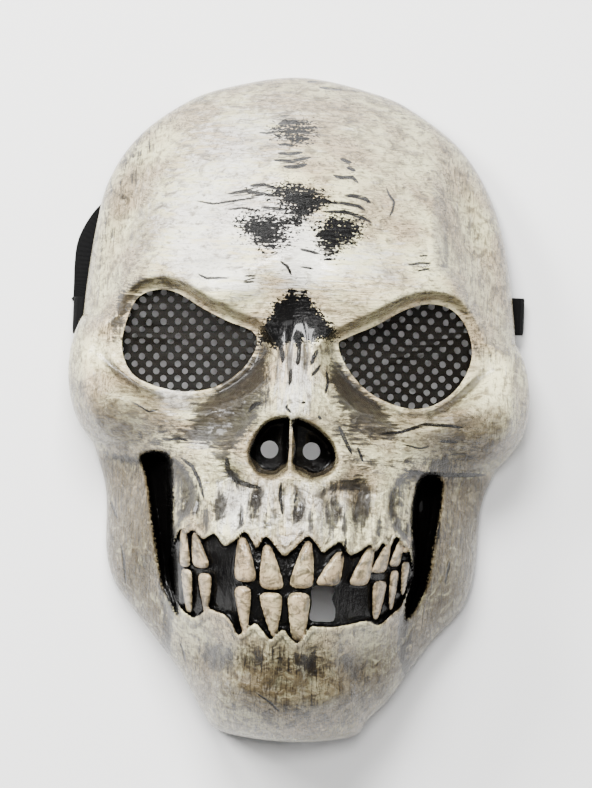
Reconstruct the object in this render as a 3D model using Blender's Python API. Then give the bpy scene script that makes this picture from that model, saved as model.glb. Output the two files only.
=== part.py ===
"""A full-face skull mask: one moulded shell, two perforated eye panels and an elastic strap.

The mask lies on its rim, face up. X runs to the viewer's right, Y to the forehead and Z out of the face.
Sizes are in millimetres, and each mesh is scaled to metres as it is made.
"""

import math

import bmesh
import bpy
import numpy as np
from mathutils import Vector
from mathutils.geometry import tessellate_polygon

MM = 0.001

# Driving dimensions
WALL = 2.0
FACE_CENTRE = (0.0, 5.0)
RIM_TRIM = 0.15
PANEL_THICKNESS = 1.0
PANEL_DROP = 2.9
PANEL_MARGIN = 3.0
HOLE_ACROSS = 3.6
HOLE_PITCH = 5.3
BREATHING_HOLE = 6.8
SLOT_LENGTH = 18.0
SLOT_HEIGHTS = {-1.0: 34.0, 1.0: 39.5}
SLOT_WIDTH = 3.4
SLOT_BAR = 4.2
STRAP_WIDTH = 14.5
STRAP_THICKNESS = 1.3

# Spacing of the shell's points in zones (start, end, step), its rows down the side, and its triangles
GRID_COLUMNS = ((-84.0, -50.0, 3.0), (-50.0, 50.0, 1.5), (50.0, 88.0, 3.0))
GRID_ROWS = ((-129.5, -95.0, 2.6), (-95.0, -45.0, 1.5), (-45.0, 48.0, 2.0), (48.0, 130.0, 3.6))
SIDE_STEPS = (1.06, 1.13, 1.22, 1.34, 1.48, 1.64, 1.82, 2.0)
SHELL_TRIANGLES = 7000

# The rim seen from the front: height on the face, left edge, right edge
RIM_ROWS = (
    (124.5, -32.0, 28.5),
    (117.0, -48.5, 45.0),
    (104.0, -64.5, 62.0),
    (87.0, -75.0, 73.5),
    (67.0, -79.5, 80.5),
    (40.0, -82.5, 85.0),
    (15.0, -83.5, 87.0),
    (-5.0, -81.0, 86.0),
    (-20.0, -75.5, 80.5),
    (-35.0, -71.3, 75.3),
    (-57.0, -70.3, 74.0),
    (-69.0, -67.0, 71.8),
    (-78.0, -60.5, 67.5),
    (-89.0, -51.5, 57.5),
    (-101.0, -41.5, 49.0),
    (-111.0, -34.8, 42.5),
    (-120.0, -29.5, 34.0),
    (-126.5, -22.0, 28.0),
)
RIM_TOP = (-2.0, 130.0)
RIM_BOTTOM = (4.0, -129.3)

# How the face turns down to its side, by direction from the face centre: degrees, height of the
# turn, roundness of the face inside it, sharpness of the turn, lift of the rim off the floor
SIDES = (
    (0.0, 44.0, 3.0, 5.0, 5.0),
    (30.0, 37.0, 2.9, 5.0, 7.0),
    (60.0, 24.0, 3.0, 4.0, 3.0),
    (90.0, 20.0, 4.4, 4.0, -4.0),
    (120.0, 24.0, 3.0, 4.0, 3.0),
    (150.0, 37.0, 2.9, 5.0, 7.0),
    (180.0, 44.0, 3.0, 5.0, 5.0),
    (207.0, 27.0, 2.5, 5.0, -2.0),
    (230.0, 33.0, 3.0, 5.0, -3.0),
    (249.0, 50.0, 4.0, 6.0, 2.0),
    (270.0, 70.0, 7.0, 7.0, 8.0),
    (291.0, 50.0, 4.0, 6.0, 2.0),
    (310.0, 33.0, 3.0, 5.0, -3.0),
    (333.0, 27.0, 2.5, 5.0, -2.0),
)

# Height of the face along its middle, without the nose
MIDDLE = (
    (-131.0, 92.0),
    (-112.0, 94.0),
    (-97.0, 88.0),
    (-80.0, 93.0),
    (-60.0, 95.0),
    (-40.0, 91.0),
    (-20.0, 85.0),
    (0.0, 82.0),
    (25.0, 82.0),
    (45.0, 86.0),
    (70.0, 88.0),
    (100.0, 86.0),
    (131.0, 84.0),
)

# Oval swellings and hollows: centre x, centre y, half-length, half-width, tilt in degrees, height
SWELLINGS = (
    (-29.0, 48.0, 25.0, 10.0, -24.0, 8.5),
    (31.0, 46.0, 25.0, 10.0, 22.0, 8.5),
    (-58.0, 53.0, 16.0, 9.0, 4.0, 5.0),
    (60.0, 51.0, 16.0, 9.0, -4.0, 5.0),
    (1.0, 38.0, 6.5, 10.0, 0.0, -4.5),
    (1.0, -6.0, 22.0, 22.0, 0.0, 9.0),
    (1.0, -3.0, 11.0, 17.0, 0.0, 7.0),
    (-68.0, 2.0, 20.0, 13.0, -20.0, 8.5),
    (70.0, -2.0, 20.0, 13.0, 20.0, 8.5),
    (-38.0, -14.0, 20.0, 10.0, 12.0, 4.0),
    (40.0, -16.0, 20.0, 10.0, -12.0, 4.0),
    (-66.0, 70.0, 9.0, 24.0, 20.0, -6.0),
    (69.0, 70.0, 9.0, 26.0, -16.0, -7.0),
    (0.0, 78.0, 36.0, 24.0, 0.0, 2.0),
    (-18.0, -113.0, 13.0, 10.0, 20.0, 3.5),
    (19.0, -114.0, 13.0, 10.0, -20.0, 3.5),
    (-33.0, -94.0, 13.0, 9.0, 40.0, -4.0),
    (35.0, -92.0, 13.0, 9.0, -40.0, -4.0),
    (-25.0, -30.0, 10.0, 9.0, 30.0, -4.0),
    (27.0, -32.0, 10.0, 9.0, -30.0, -4.5),
    (0.0, -58.0, 42.0, 24.0, 0.0, 4.0),
)

# Where the cheekbones stand out past the rim: side, height on the face, half-length, overhang
CHEEKBONES = (
    (-1.0, 9.0, 25.0, 8.3),
    (1.0, 4.0, 25.0, 9.6),
)

# Outlines seen from the front, each a smooth closed curve
EYE_LEFT = (
    (-66.8, 27.0), (-66.2, 18.0), (-61.5, 10.8), (-52.0, 6.9), (-41.0, 5.6), (-30.0, 7.9),
    (-20.5, 14.5), (-14.9, 23.5), (-16.3, 29.7), (-26.0, 33.4), (-36.0, 38.0), (-46.5, 43.8),
    (-55.0, 44.5), (-62.5, 40.0),
)
EYE_RIGHT = (
    (17.0, 26.0), (20.5, 17.6), (28.5, 8.9), (38.0, 4.1), (47.5, 2.3), (56.5, 4.9), (64.5, 12.0),
    (69.0, 23.0), (66.8, 34.0), (60.5, 41.3), (51.5, 43.2), (42.0, 40.4), (31.0, 33.9), (20.5, 29.0),
)
NOSE = (
    (-16.6, -18.5), (-14.8, -11.2), (-10.7, -5.1), (-4.5, -2.3), (3.0, -2.5), (10.0, -5.7),
    (16.6, -11.8), (18.7, -19.0), (15.8, -24.3), (9.2, -27.0), (2.6, -24.3), (-1.0, -23.6),
    (-5.5, -26.6), (-12.5, -25.2),
)
GROOVE_LEFT = (
    (-58.0, -19.5), (-47.2, -19.0), (-44.5, -33.0), (-43.8, -48.0), (-41.5, -66.0), (-40.9, -81.5),
    (-47.5, -70.5), (-52.0, -50.0), (-55.5, -30.0),
)
GROOVE_RIGHT = (
    (50.6, -24.4), (59.0, -24.0), (59.8, -33.0), (57.6, -50.0), (54.8, -68.0), (48.0, -80.0),
    (46.6, -73.0), (48.9, -57.0), (47.6, -38.0),
)
MISSING_TOOTH = (
    (10.4, -68.2), (14.8, -67.4), (19.2, -68.0), (18.4, -72.5), (19.8, -76.0), (19.3, -80.8),
    (14.5, -81.3), (10.2, -80.6), (10.6, -74.5),
)
# Each cheek sinks under its cheekbone and beside the teeth, most near this outline's edge
CHEEK_LEFT = (
    (-96.0, -14.0), (-76.7, -16.8), (-68.3, -19.1), (-58.7, -20.3), (-48.0, -19.8), (-40.7, -22.6),
    (-36.7, -31.3), (-36.6, -38.5), (-41.8, -48.5), (-44.6, -60.0), (-44.5, -72.0), (-42.0, -84.0),
    (-52.0, -112.0), (-100.0, -112.0),
)
CHEEK_RIGHT = (
    (96.0, -18.0), (79.9, -20.1), (65.6, -21.2), (53.6, -21.7), (45.3, -22.0), (39.6, -28.3),
    (38.6, -34.4), (39.5, -43.8), (46.6, -50.5), (49.0, -60.0), (48.6, -70.0), (44.0, -84.0),
    (54.0, -114.0), (100.0, -114.0),
)
CHEEK_DROP = 3.4
CHEEK_STEP = 3.4
CHEEK_LEVEL = 7.0
CHEEK_RETURN = 26.0
SOCKET_WIDTH = 9.0
NOSE_DEPTH = 16.0
GROOVE_DEPTH = 12.0
SEPTUM = (0.2, 2.0)
BREATHING_X = (-8.1, 8.2)
BREATHING_Y = -15.6

# The surface that an eye opening lies in: centre x, centre y, height, slope to the nose, slope up,
# hollow of the curve
EYE_PLANES = {
    "left": (-41.0, 25.0, 65.0, 0.42, 0.0, 0.005),
    "right": (43.0, 23.0, 65.0, 0.42, 0.0, 0.005),
}

# Teeth, seen from the front: x, width, root end, biting edge, lean of the root in degrees
UPPER_TEETH = (
    (-38.9, 4.2, -50.0, -62.4, -4.0),
    (-32.9, 7.2, -47.0, -62.8, -4.0),
    (-16.0, 8.8, -49.0, -67.0, -5.0),
    (-5.2, 9.6, -51.0, -69.6, -3.0),
    (5.9, 10.2, -48.5, -69.0, 3.0),
    (16.6, 9.8, -51.5, -67.8, 12.0),
    (27.3, 8.4, -50.5, -67.2, 14.0),
    (36.8, 6.0, -49.0, -61.8, 6.0),
    (42.6, 4.2, -51.0, -58.6, 4.0),
    (46.6, 3.0, -52.5, -60.0, 4.0),
)
LOWER_TEETH = (
    (-37.5, 4.9, -76.5, -64.0, 4.0),
    (-31.0, 6.2, -81.5, -65.0, 3.0),
    (-15.6, 7.0, -88.5, -68.9, 2.0),
    (-4.5, 9.6, -89.5, -71.0, 1.0),
    (6.0, 8.8, -90.0, -70.6, -2.0),
    (36.9, 5.8, -82.0, -63.8, -4.0),
    (42.5, 4.2, -78.0, -60.6, -4.0),
    (46.6, 3.2, -70.0, -60.8, -4.0),
)
TOOTH_HEIGHT = 4.2
GUM_HEIGHT = 2.4


def smooth(t):
    """A soft step from 0 to 1."""
    t = np.clip(t, 0.0, 1.0)
    return t * t * (3.0 - 2.0 * t)


def closed_curve(points, per_span=6):
    """A closed Catmull-Rom curve through the points."""
    p = np.array(points, float)
    before, after, beyond = np.roll(p, 1, 0), np.roll(p, -1, 0), np.roll(p, -2, 0)
    rows = []
    for t in np.arange(per_span) / per_span:
        rows.append(
            0.5
            * (
                2.0 * p
                + (after - before) * t
                + (2.0 * before - 5.0 * p + 4.0 * after - beyond) * t**2
                + (3.0 * p - before - 3.0 * after + beyond) * t**3
            )
        )
    return np.stack(rows, 1).reshape(-1, 2)


def signed_distance(x, y, loop):
    """The distance from each point to a closed loop, negative inside it."""
    best = np.full(x.shape, 1e9)
    inside = np.zeros(x.shape, bool)
    for (ax, ay), (bx, by) in zip(loop, np.roll(loop, -1, 0)):
        dx, dy = bx - ax, by - ay
        t = np.clip(((x - ax) * dx + (y - ay) * dy) / (dx * dx + dy * dy + 1e-12), 0.0, 1.0)
        best = np.minimum(best, np.hypot(x - ax - t * dx, y - ay - t * dy))
        if ay != by:
            crossing = (ay > y) != (by > y)
            inside ^= crossing & (x < ax + (y - ay) * dx / (by - ay))
    return np.where(inside, -best, best)


def rim_curve():
    """The rim seen from the front, as one closed curve."""
    right = [(r, y) for y, _, r in RIM_ROWS]
    left = [(l, y) for y, l, _ in reversed(RIM_ROWS)]
    return closed_curve([RIM_TOP] + right + [RIM_BOTTOM] + left, 12)


RIM = rim_curve()
RIM_MIDDLE = (RIM.max(0) + RIM.min(0)) / 2.0


def rim_radius(angle):
    """The distance from the face centre to the rim, in a direction in radians."""
    offset = RIM - FACE_CENTRE
    at = np.arctan2(offset[:, 1], offset[:, 0])
    order = np.argsort(at)
    return np.interp(angle, at[order], np.hypot(*offset.T)[order], period=2.0 * math.pi)


def side_values(angle):
    """The columns of SIDES in a direction, eased from row to row."""
    table = np.array(SIDES)
    degrees = np.degrees(angle) % 360.0
    starts = np.append(table[:, 0], 360.0)
    row = np.clip(np.searchsorted(starts, degrees, "right") - 1, 0, len(table) - 1)
    share = smooth((degrees - starts[row]) / (starts[row + 1] - starts[row]))
    here, there = table[row, 1:], table[(row + 1) % len(table), 1:]
    return np.moveaxis(here + (there - here) * share[..., None], -1, 0)


def middle_height(y):
    """The height of the face along its middle, eased through MIDDLE's rows."""
    table = np.array(MIDDLE)
    fine = np.linspace(table[0, 0], table[-1, 0], 400)
    values = np.interp(fine, *table.T)
    kernel = np.hanning(31) / np.hanning(31).sum()
    padded = np.pad(values, 15, mode="edge")
    return np.interp(y, fine, np.convolve(padded, kernel, "valid"))


def eye_plane(x, y, side):
    """The height of the smooth surface that an eye opening lies in."""
    cx, cy, height, to_nose, up, hollow = EYE_PLANES[side]
    inward = (x - cx) if side == "left" else (cx - x)
    return height + to_nose * inward + up * (y - cy) - hollow * inward**2


def swelling(x, y, row):
    cx, cy, half_length, half_width, tilt, height = row
    c, s = math.cos(math.radians(-tilt)), math.sin(math.radians(-tilt))
    u = ((x - cx) * c + (y - cy) * s) / half_length
    v = ((y - cy) * c - (x - cx) * s) / half_width
    return height * np.exp(-((u * u + v * v) ** 1.25))


OUTLINES = {
    "eye_left": closed_curve(EYE_LEFT),
    "eye_right": closed_curve(EYE_RIGHT),
    "nose": closed_curve(NOSE),
    "groove_left": closed_curve(GROOVE_LEFT),
    "groove_right": closed_curve(GROOVE_RIGHT),
    "missing_tooth": closed_curve(MISSING_TOOTH, 3),
    "cheek_left": closed_curve(CHEEK_LEFT, 3),
    "cheek_right": closed_curve(CHEEK_RIGHT, 3),
}


def cheek_inside(x, y):
    """How far a point lies inside a sunken cheek's outline; below 0 outside."""
    left = signed_distance(x, y, OUTLINES["cheek_left"])
    return -np.minimum(left, signed_distance(x, y, OUTLINES["cheek_right"]))


def cheek_depth(inside):
    """How deep a cheek sinks: a step at the outline, which rises again away from it."""
    step = smooth((inside + 0.8) / CHEEK_STEP)
    return CHEEK_DROP * step * (1.0 - smooth((inside - CHEEK_LEVEL) / CHEEK_RETURN))


def tooth(x, y, row, height):
    """How far one tooth stands out: a rounded crown that narrows to a pointed root."""
    cx, width, root, edge, lean = row
    length = abs(root - edge)
    up = 1.0 if root > edge else -1.0
    along = (y - edge) * up / length
    slant = math.tan(math.radians(lean))
    u = x - cx - slant * along * length
    half = 0.5 * width * (1.0 - 0.5 * np.clip(along, 0.0, 1.0) ** 1.7)
    across = np.clip(1.0 - np.abs(u / half) ** 3.0, 0.0, 1.0) ** 0.5
    ends = smooth((along + 0.06) / 0.13) * smooth((1.04 - along) / 0.2)
    return height * across * ends


def teeth(x, y):
    """The teeth and the scalloped bone that they stand in."""
    out = np.zeros(x.shape)
    for rows, bone_from in ((UPPER_TEETH, 1.0), (LOWER_TEETH, -1.0)):
        line = np.full(x.shape, -55.5 if bone_from > 0 else -79.5) + bone_from * 0.0015 * x**2
        for cx, width, root, edge, lean in rows:
            arch = np.clip(1.0 - ((x - cx) / (0.62 * width)) ** 2, 0.0, 1.0) ** 0.6
            line = line + bone_from * arch * 5.5
        bone = smooth((bone_from * (y - line) + 0.6) / 1.6)
        fade = smooth((52.0 - np.abs(x)) / 5.0) * smooth((30.0 - bone_from * (y - line)) / 22.0)
        out = np.maximum(out, GUM_HEIGHT * bone * fade)
        for row in rows:
            out = np.maximum(out, tooth(x, y, row, TOOTH_HEIGHT))
            ridge_x = row[0] + math.tan(math.radians(row[4])) * 18.0
            ridge = np.exp(-(((x - ridge_x) / (0.42 * row[1])) ** 2))
            beyond = bone_from * (y - row[2])
            out = out + 1.3 * ridge * smooth((beyond + 3.0) / 4.0) * smooth((14.0 - beyond) / 10.0)
    return out


def outer_height(x, y, ratio, drop, angle, detail):
    """The height of the outer surface, from the face sheet, the fall to the side and the openings."""
    turn, roundness, _, lift = side_values(angle)
    lift = np.maximum(lift, 0.0)
    z = turn + (middle_height(y) - turn) * (1.0 - np.clip(ratio, 0.0, 1.0) ** roundness)
    fade = smooth((1.0 - ratio) / 0.14)
    z = z + sum(swelling(x, y, row) for row in SWELLINGS) * fade
    z = z - cheek_depth(cheek_inside(x, y)) * fade
    z = lift + (z - lift) * drop
    for side in ("left", "right"):
        distance = signed_distance(x, y, OUTLINES["eye_" + side])
        near = (1.0 - smooth((distance - 1.5) / SOCKET_WIDTH)) * smooth((drop - 0.78) / 0.1)
        z = z + (eye_plane(x, y, side) - z) * near
        distance = signed_distance(x, y, OUTLINES["groove_" + side])
        z = z - GROOVE_DEPTH * smooth((0.8 - distance) / 4.0)
    if detail:
        z = z + teeth(x, y) * fade
    distance = signed_distance(x, y, OUTLINES["nose"])
    pocket = smooth((0.4 - distance) / 3.6)
    if detail:
        middle, width = SEPTUM
        rib = 1.0 - smooth((np.abs(x - middle) - width / 2.0) / 1.2)
        pocket = pocket * (1.0 - 0.82 * rib)
    return z - NOSE_DEPTH * pocket


def full_height(x, y, detail):
    """The height of the outer surface at a point seen from the front, side walls and all."""
    dx, dy = x - FACE_CENTRE[0], y - FACE_CENTRE[1]
    angle = np.arctan2(dy, dx)
    ratio = np.hypot(dx, dy) / rim_radius(angle)
    _, _, sharp, lift = side_values(angle)
    drop = np.clip(1.0 - np.clip(ratio, 0.0, 1.0) ** sharp, 0.0, 1.0) ** (1.0 / sharp)
    z = outer_height(x, y, ratio, drop, angle, detail)
    return np.where(ratio >= 1.0, np.maximum(lift, 0.0), z)


def back_height(x, y):
    """The height of the back of the wall: a ball of the wall's thickness rolls under the front."""
    best = full_height(x, y, False) - WALL
    for share, count in ((0.6, 6), (0.97, 10)):
        for turn in 2.0 * math.pi * np.arange(count) / count:
            reach = WALL * share
            z = full_height(x + reach * math.cos(turn), y + reach * math.sin(turn), False)
            best = np.minimum(best, z - WALL * math.sqrt(1.0 - share * share))
    return best


def surface(disc_x, disc_y, detail, inset):
    """Points of the mask over a disc: the face inside radius 1, and the side from 1 to 2."""
    radius = np.hypot(disc_x, disc_y)
    angle = np.arctan2(disc_y, disc_x)
    _, _, sharp, lift = side_values(angle)
    lift = np.maximum(lift, 0.0)
    inner = np.minimum(radius, 1.0)
    outer = np.clip(2.0 - radius, 0.0, 1.0)
    root = (1.0 + np.where(radius <= 1.0, inner, outer) ** sharp) ** (1.0 / sharp)
    ratio = np.where(radius <= 1.0, inner / root, 1.0 / root)
    reach = (rim_radius(angle) - 1.06 * inset) * ratio
    x = FACE_CENTRE[0] + reach * np.cos(angle)
    y = FACE_CENTRE[1] + reach * np.sin(angle)
    if inset:
        turn = 2.0 ** (-1.0 / sharp)
        drop = np.where(radius <= 1.0, 1.0, outer / root / turn)
        z = lift + (back_height(x, y) - lift) * drop
    else:
        drop = np.where(radius <= 1.0, 1.0 / root, outer / root)
        z = outer_height(x, y, ratio, drop, angle, detail)
    for side, height, half, overhang in CHEEKBONES:
        swell = np.sqrt(np.clip(1.0 - ((y - height) / half) ** 2, 0.0, 1.0))
        where = smooth((radius - 0.78) / 0.24) * smooth((1.75 - radius) / 0.6)
        x = x + side * overhang * swell * where * (side * x > 0.0)
    return np.stack([x, y, z], -1)


def spaced(zones):
    """Positions from the first zone's start to the last one's end, each zone at its own step."""
    out = []
    for start, end, step in zones:
        count = max(1, round((end - start) / step))
        out.extend(start + (end - start) * np.arange(count) / count)
    return np.array(out + [zones[-1][1]])


def skin(columns, rows, side_steps, detail, inset):
    """One side of the wall as points and quads, with the numbers of the points on its rim."""
    reach_x = rim_radius(np.array([math.pi, 0.0]))
    reach_y = rim_radius(np.array([-math.pi / 2.0, math.pi / 2.0]))
    a = np.where(columns < 0.0, columns / reach_x[0], columns / reach_x[1])
    offset = rows - FACE_CENTRE[1]
    b = np.where(offset < 0.0, offset / reach_y[0], offset / reach_y[1])
    a[0], a[-1], b[0], b[-1] = -1.0, 1.0, -1.0, 1.0
    aa, bb = np.meshgrid(a, b)
    disc_x = aa * np.sqrt(1.0 - bb**2 / 2.0)
    disc_y = bb * np.sqrt(1.0 - aa**2 / 2.0)
    n, m = aa.shape
    number = np.arange(n * m).reshape(n, m)
    quads = [number[:-1, :-1], number[:-1, 1:], number[1:, 1:], number[1:, :-1]]
    faces = [np.stack(quads, -1).reshape(-1, 4)]
    edges = [number[0, :-1], number[:-1, -1], number[-1, :0:-1], number[:0:-1, 0]]
    ring = np.concatenate(edges)
    points = [surface(disc_x, disc_y, detail, inset).reshape(-1, 3)]
    edge_x, edge_y = disc_x.reshape(-1)[ring], disc_y.reshape(-1)[ring]
    start = n * m
    for step in side_steps:
        points.append(surface(edge_x * step, edge_y * step, detail, inset))
        here = start + np.arange(len(ring))
        faces.append(np.stack([ring, here, np.roll(here, -1), np.roll(ring, -1)], -1))
        ring, start = here, start + len(ring)
    return np.concatenate(points), np.concatenate(faces), ring


def to_object(name, points, faces, hidden=False):
    """An object in metres, centred on the rim, from points in millimetres."""
    placed = np.array(points, float)
    placed[:, :2] -= RIM_MIDDLE
    mesh = bpy.data.meshes.new(name)
    mesh.from_pydata((placed * MM).tolist(), [], [list(map(int, f)) for f in faces])
    mesh.update()
    piece = bpy.data.objects.new(name, mesh)
    bpy.context.scene.collection.objects.link(piece)
    if hidden:
        piece.hide_render = True
        piece.display_type = "WIRE"
    return piece


def prism(name, loop, low, high):
    """A cutter with the outline of a loop, from one height to another."""
    after = np.roll(loop, -1, 0)
    if (np.array(loop)[:, 0] * after[:, 1] - after[:, 0] * np.array(loop)[:, 1]).sum() < 0.0:
        loop = loop[::-1]
    n = len(loop)
    points = [(x, y, z) for z in (low, high) for x, y in loop]
    faces = [list(range(n))[::-1], list(range(n, 2 * n))]
    faces += [[i, (i + 1) % n, (i + 1) % n + n, i + n] for i in range(n)]
    return to_object(name, points, faces, hidden=True)


def cut(piece, cutter):
    modifier = piece.modifiers.new(cutter.name, "BOOLEAN")
    modifier.operation = "DIFFERENCE"
    modifier.object = cutter
    modifier.solver = "EXACT"


def circle(x, y, across, sides, turn=0.0):
    """A ring of points round a centre, with the given distance across its corners."""
    turns = 2.0 * math.pi * (np.arange(sides) + turn) / sides
    return np.stack([x + np.cos(turns) * across / 2.0, y + np.sin(turns) * across / 2.0], 1)


def rectangle(x, y, half_x, half_y):
    corners = ((-1.0, -1.0), (1.0, -1.0), (1.0, 1.0), (-1.0, 1.0))
    return [(x + half_x * across, y + half_y * up) for across, up in corners]


def material(name, colour, roughness):
    made = bpy.data.materials.new(name)
    made.use_nodes = True
    shader = made.node_tree.nodes["Principled BSDF"]
    shader.inputs["Base Color"].default_value = (*colour, 1.0)
    shader.inputs["Roughness"].default_value = roughness
    return made


def thinned(piece, wanted):
    """A Decimate that leaves about the wanted number of triangles."""
    now = sum(len(p.vertices) - 2 for p in piece.data.polygons)
    modifier = piece.modifiers.new("fewer_faces", "DECIMATE")
    modifier.ratio = wanted / now


def slot_centre(side):
    """The middle of a strap slot, on the side wall."""
    height = SLOT_HEIGHTS[side]
    angle = math.atan2(height - FACE_CENTRE[1], side * 84.0)
    reach = float(rim_radius(np.array([angle]))[0])
    lift = float(np.maximum(side_values(np.array([angle]))[3], 0.0)[0])
    return (
        FACE_CENTRE[0] + reach * math.cos(angle),
        FACE_CENTRE[1] + reach * math.sin(angle),
        lift + SLOT_BAR + SLOT_WIDTH / 2.0,
    )


def make_shell():
    """The moulding: the face, less its hollow, its openings and its slots."""
    columns, rows = spaced(GRID_COLUMNS), spaced(GRID_ROWS)
    front, front_faces, front_rim = skin(columns, rows, SIDE_STEPS, True, 0.0)
    back, back_faces, back_rim = skin(columns, rows, SIDE_STEPS, False, WALL)
    back_rim = back_rim + len(front)
    rim = np.stack([front_rim, back_rim, np.roll(back_rim, -1), np.roll(front_rim, -1)], -1)
    faces = np.concatenate([front_faces, back_faces[:, ::-1] + len(front), rim])
    shell = to_object("mask_shell", np.concatenate([front, back]), faces)
    thinned(shell, SHELL_TRIANGLES)
    cut(shell, prism("cut_floor", rectangle(0.0, 0.0, 120.0, 160.0), -6.0, RIM_TRIM))
    for name in ("eye_left", "eye_right"):
        cut(shell, prism("cut_" + name, OUTLINES[name][::2], 20.0, 120.0))
    cut(shell, prism("cut_missing_tooth", OUTLINES["missing_tooth"], 60.0, 120.0))
    for side, x in zip(("left", "right"), BREATHING_X):
        loop = circle(x, BREATHING_Y, BREATHING_HOLE, 16)
        cut(shell, prism("cut_breathing_" + side, loop, 50.0, 110.0))
    for side, way in (("left", -1.0), ("right", 1.0)):
        x, y, z = slot_centre(way)
        loop = rectangle(x, y, 7.0, SLOT_LENGTH / 2.0)
        cut(shell, prism("cut_slot_" + side, loop, z - SLOT_WIDTH / 2.0, z + SLOT_WIDTH / 2.0))
    shell.data.materials.append(material("aged_bone_plastic", (0.62, 0.55, 0.45), 0.32))
    return shell


def clear_scene():
    for item in list(bpy.data.objects):
        bpy.data.objects.remove(item)


def face_outward(piece):
    work = bmesh.new()
    work.from_mesh(piece.data)
    bmesh.ops.recalc_face_normals(work, faces=work.faces)
    work.to_mesh(piece.data)
    work.free()


def make_eye_panel(side):
    """A curved sheet behind an eye opening, cut through by staggered six-sided holes."""
    loop = OUTLINES["eye_" + side]
    middle = loop.mean(0)
    outward = loop - middle
    edge = loop + outward / np.linalg.norm(outward, axis=1)[:, None] * PANEL_MARGIN
    edge = edge[::3]
    holes = []
    pitch_y = HOLE_PITCH * math.sqrt(3.0) / 2.0
    for row in range(-6, 7):
        for column in range(-8, 9):
            x = middle[0] + (column + 0.5 * (row % 2)) * HOLE_PITCH
            y = middle[1] + row * pitch_y
            room = signed_distance(np.array([x]), np.array([y]), loop)[0]
            if room < -HOLE_ACROSS * 0.42:
                holes.append(circle(x, y, HOLE_ACROSS, 6, 0.5))
    loops = [edge] + [ring[::-1] for ring in holes]
    flat = np.concatenate(loops)
    corners = tessellate_polygon([[(x, y, 0.0) for x, y in ring] for ring in loops])
    front = eye_plane(flat[:, 0], flat[:, 1], side) - PANEL_DROP
    count = len(flat)
    points = np.concatenate(
        [np.column_stack([flat, front]), np.column_stack([flat, front - PANEL_THICKNESS])]
    )
    faces = []
    for a, b, c in corners:
        area = np.cross(flat[b] - flat[a], flat[c] - flat[a])
        a, b, c = (a, b, c) if area > 0.0 else (a, c, b)
        faces.append((a, b, c))
        faces.append((c + count, b + count, a + count))
    start = 0
    for ring in loops:
        size = len(ring)
        for i in range(size):
            a, b = start + i, start + (i + 1) % size
            faces.append((b, a, a + count, b + count))
        start += size
    panel = to_object("eye_mesh_" + side, points, faces)
    face_outward(panel)
    panel.data.materials.append(material("eye_mesh_" + side, (0.035, 0.028, 0.02), 0.6))
    return panel


# The strap's way round each slot bar: distance out from the wall, height over the rim
LEFT_LOOP = (
    (-4.1, 3.4),
    (-3.9, 0.6),
    (-2.6, -1.9),
    (0.4, -2.3),
    (2.8, -0.9),
    (3.4, 1.8),
    (2.6, 4.2),
    (0.8, 5.3),
    (-1.2, 5.35),
    (-6.0, 5.2),
    (-10.6, 4.0),
    (-13.4, 1.0),
    (-13.6, -1.8),
    (-12.4, -3.5),
    (-10.8, -4.0),
)
RIGHT_LOOP = (
    (-8.0, 4.6),
    (-4.0, 5.3),
    (-1.1, 5.35),
    (1.3, 4.9),
    (3.0, 3.3),
    (3.5, 1.0),
    (2.7, -1.2),
    (0.6, -2.1),
    (-2.6, -2.0),
    (-6.6, -0.9),
    (-10.4, 0.4),
)
# The left fold: outer and inner edge of the band beside the rim, and where the two layers lie
FOLD_OUTER_X = -87.3
FOLD_LAYERS = (2.6, 0.95)
# The hidden stretch behind the forehead: x, y, height, turn from flat (1) to standing (0)
HIDDEN_STRETCH = (
    (-80.0, 46.0, 0.95, 1.0),
    (-80.0, 54.0, 0.95, 1.0),
    (-79.0, 62.0, 0.95, 1.0),
    (-74.0, 71.0, 1.2, 0.98),
    (-66.0, 78.4, 4.0, 0.7),
    (-58.0, 87.0, 7.4, 0.25),
    (-44.0, 94.0, 7.6, 0.0),
    (-24.0, 99.0, 7.6, 0.0),
    (0.0, 101.0, 7.6, 0.0),
    (24.0, 97.0, 7.6, 0.0),
    (44.0, 86.0, 7.6, 0.0),
    (56.0, 70.0, 8.0, 0.05),
    (63.0, 55.0, 9.0, 0.3),
    (69.0, 44.0, 10.3, 0.75),
    (74.0, 40.2, 10.9, 0.98),
)


def through(points, per_span):
    """A Catmull-Rom curve through the points, ends kept."""
    p = np.array(points, float)
    p = np.vstack([2.0 * p[0] - p[1], p, 2.0 * p[-1] - p[-2]])
    rows = []
    for a, b, c, d in zip(p, p[1:], p[2:], p[3:]):
        for t in np.arange(per_span) / per_span:
            rows.append(
                0.5
                * (
                    2.0 * b
                    + (c - a) * t
                    + (2.0 * a - 5.0 * b + 4.0 * c - d) * t**2
                    + (3.0 * b - a - 3.0 * c + d) * t**3
                )
            )
    return np.array(rows + [p[-2]])


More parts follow.
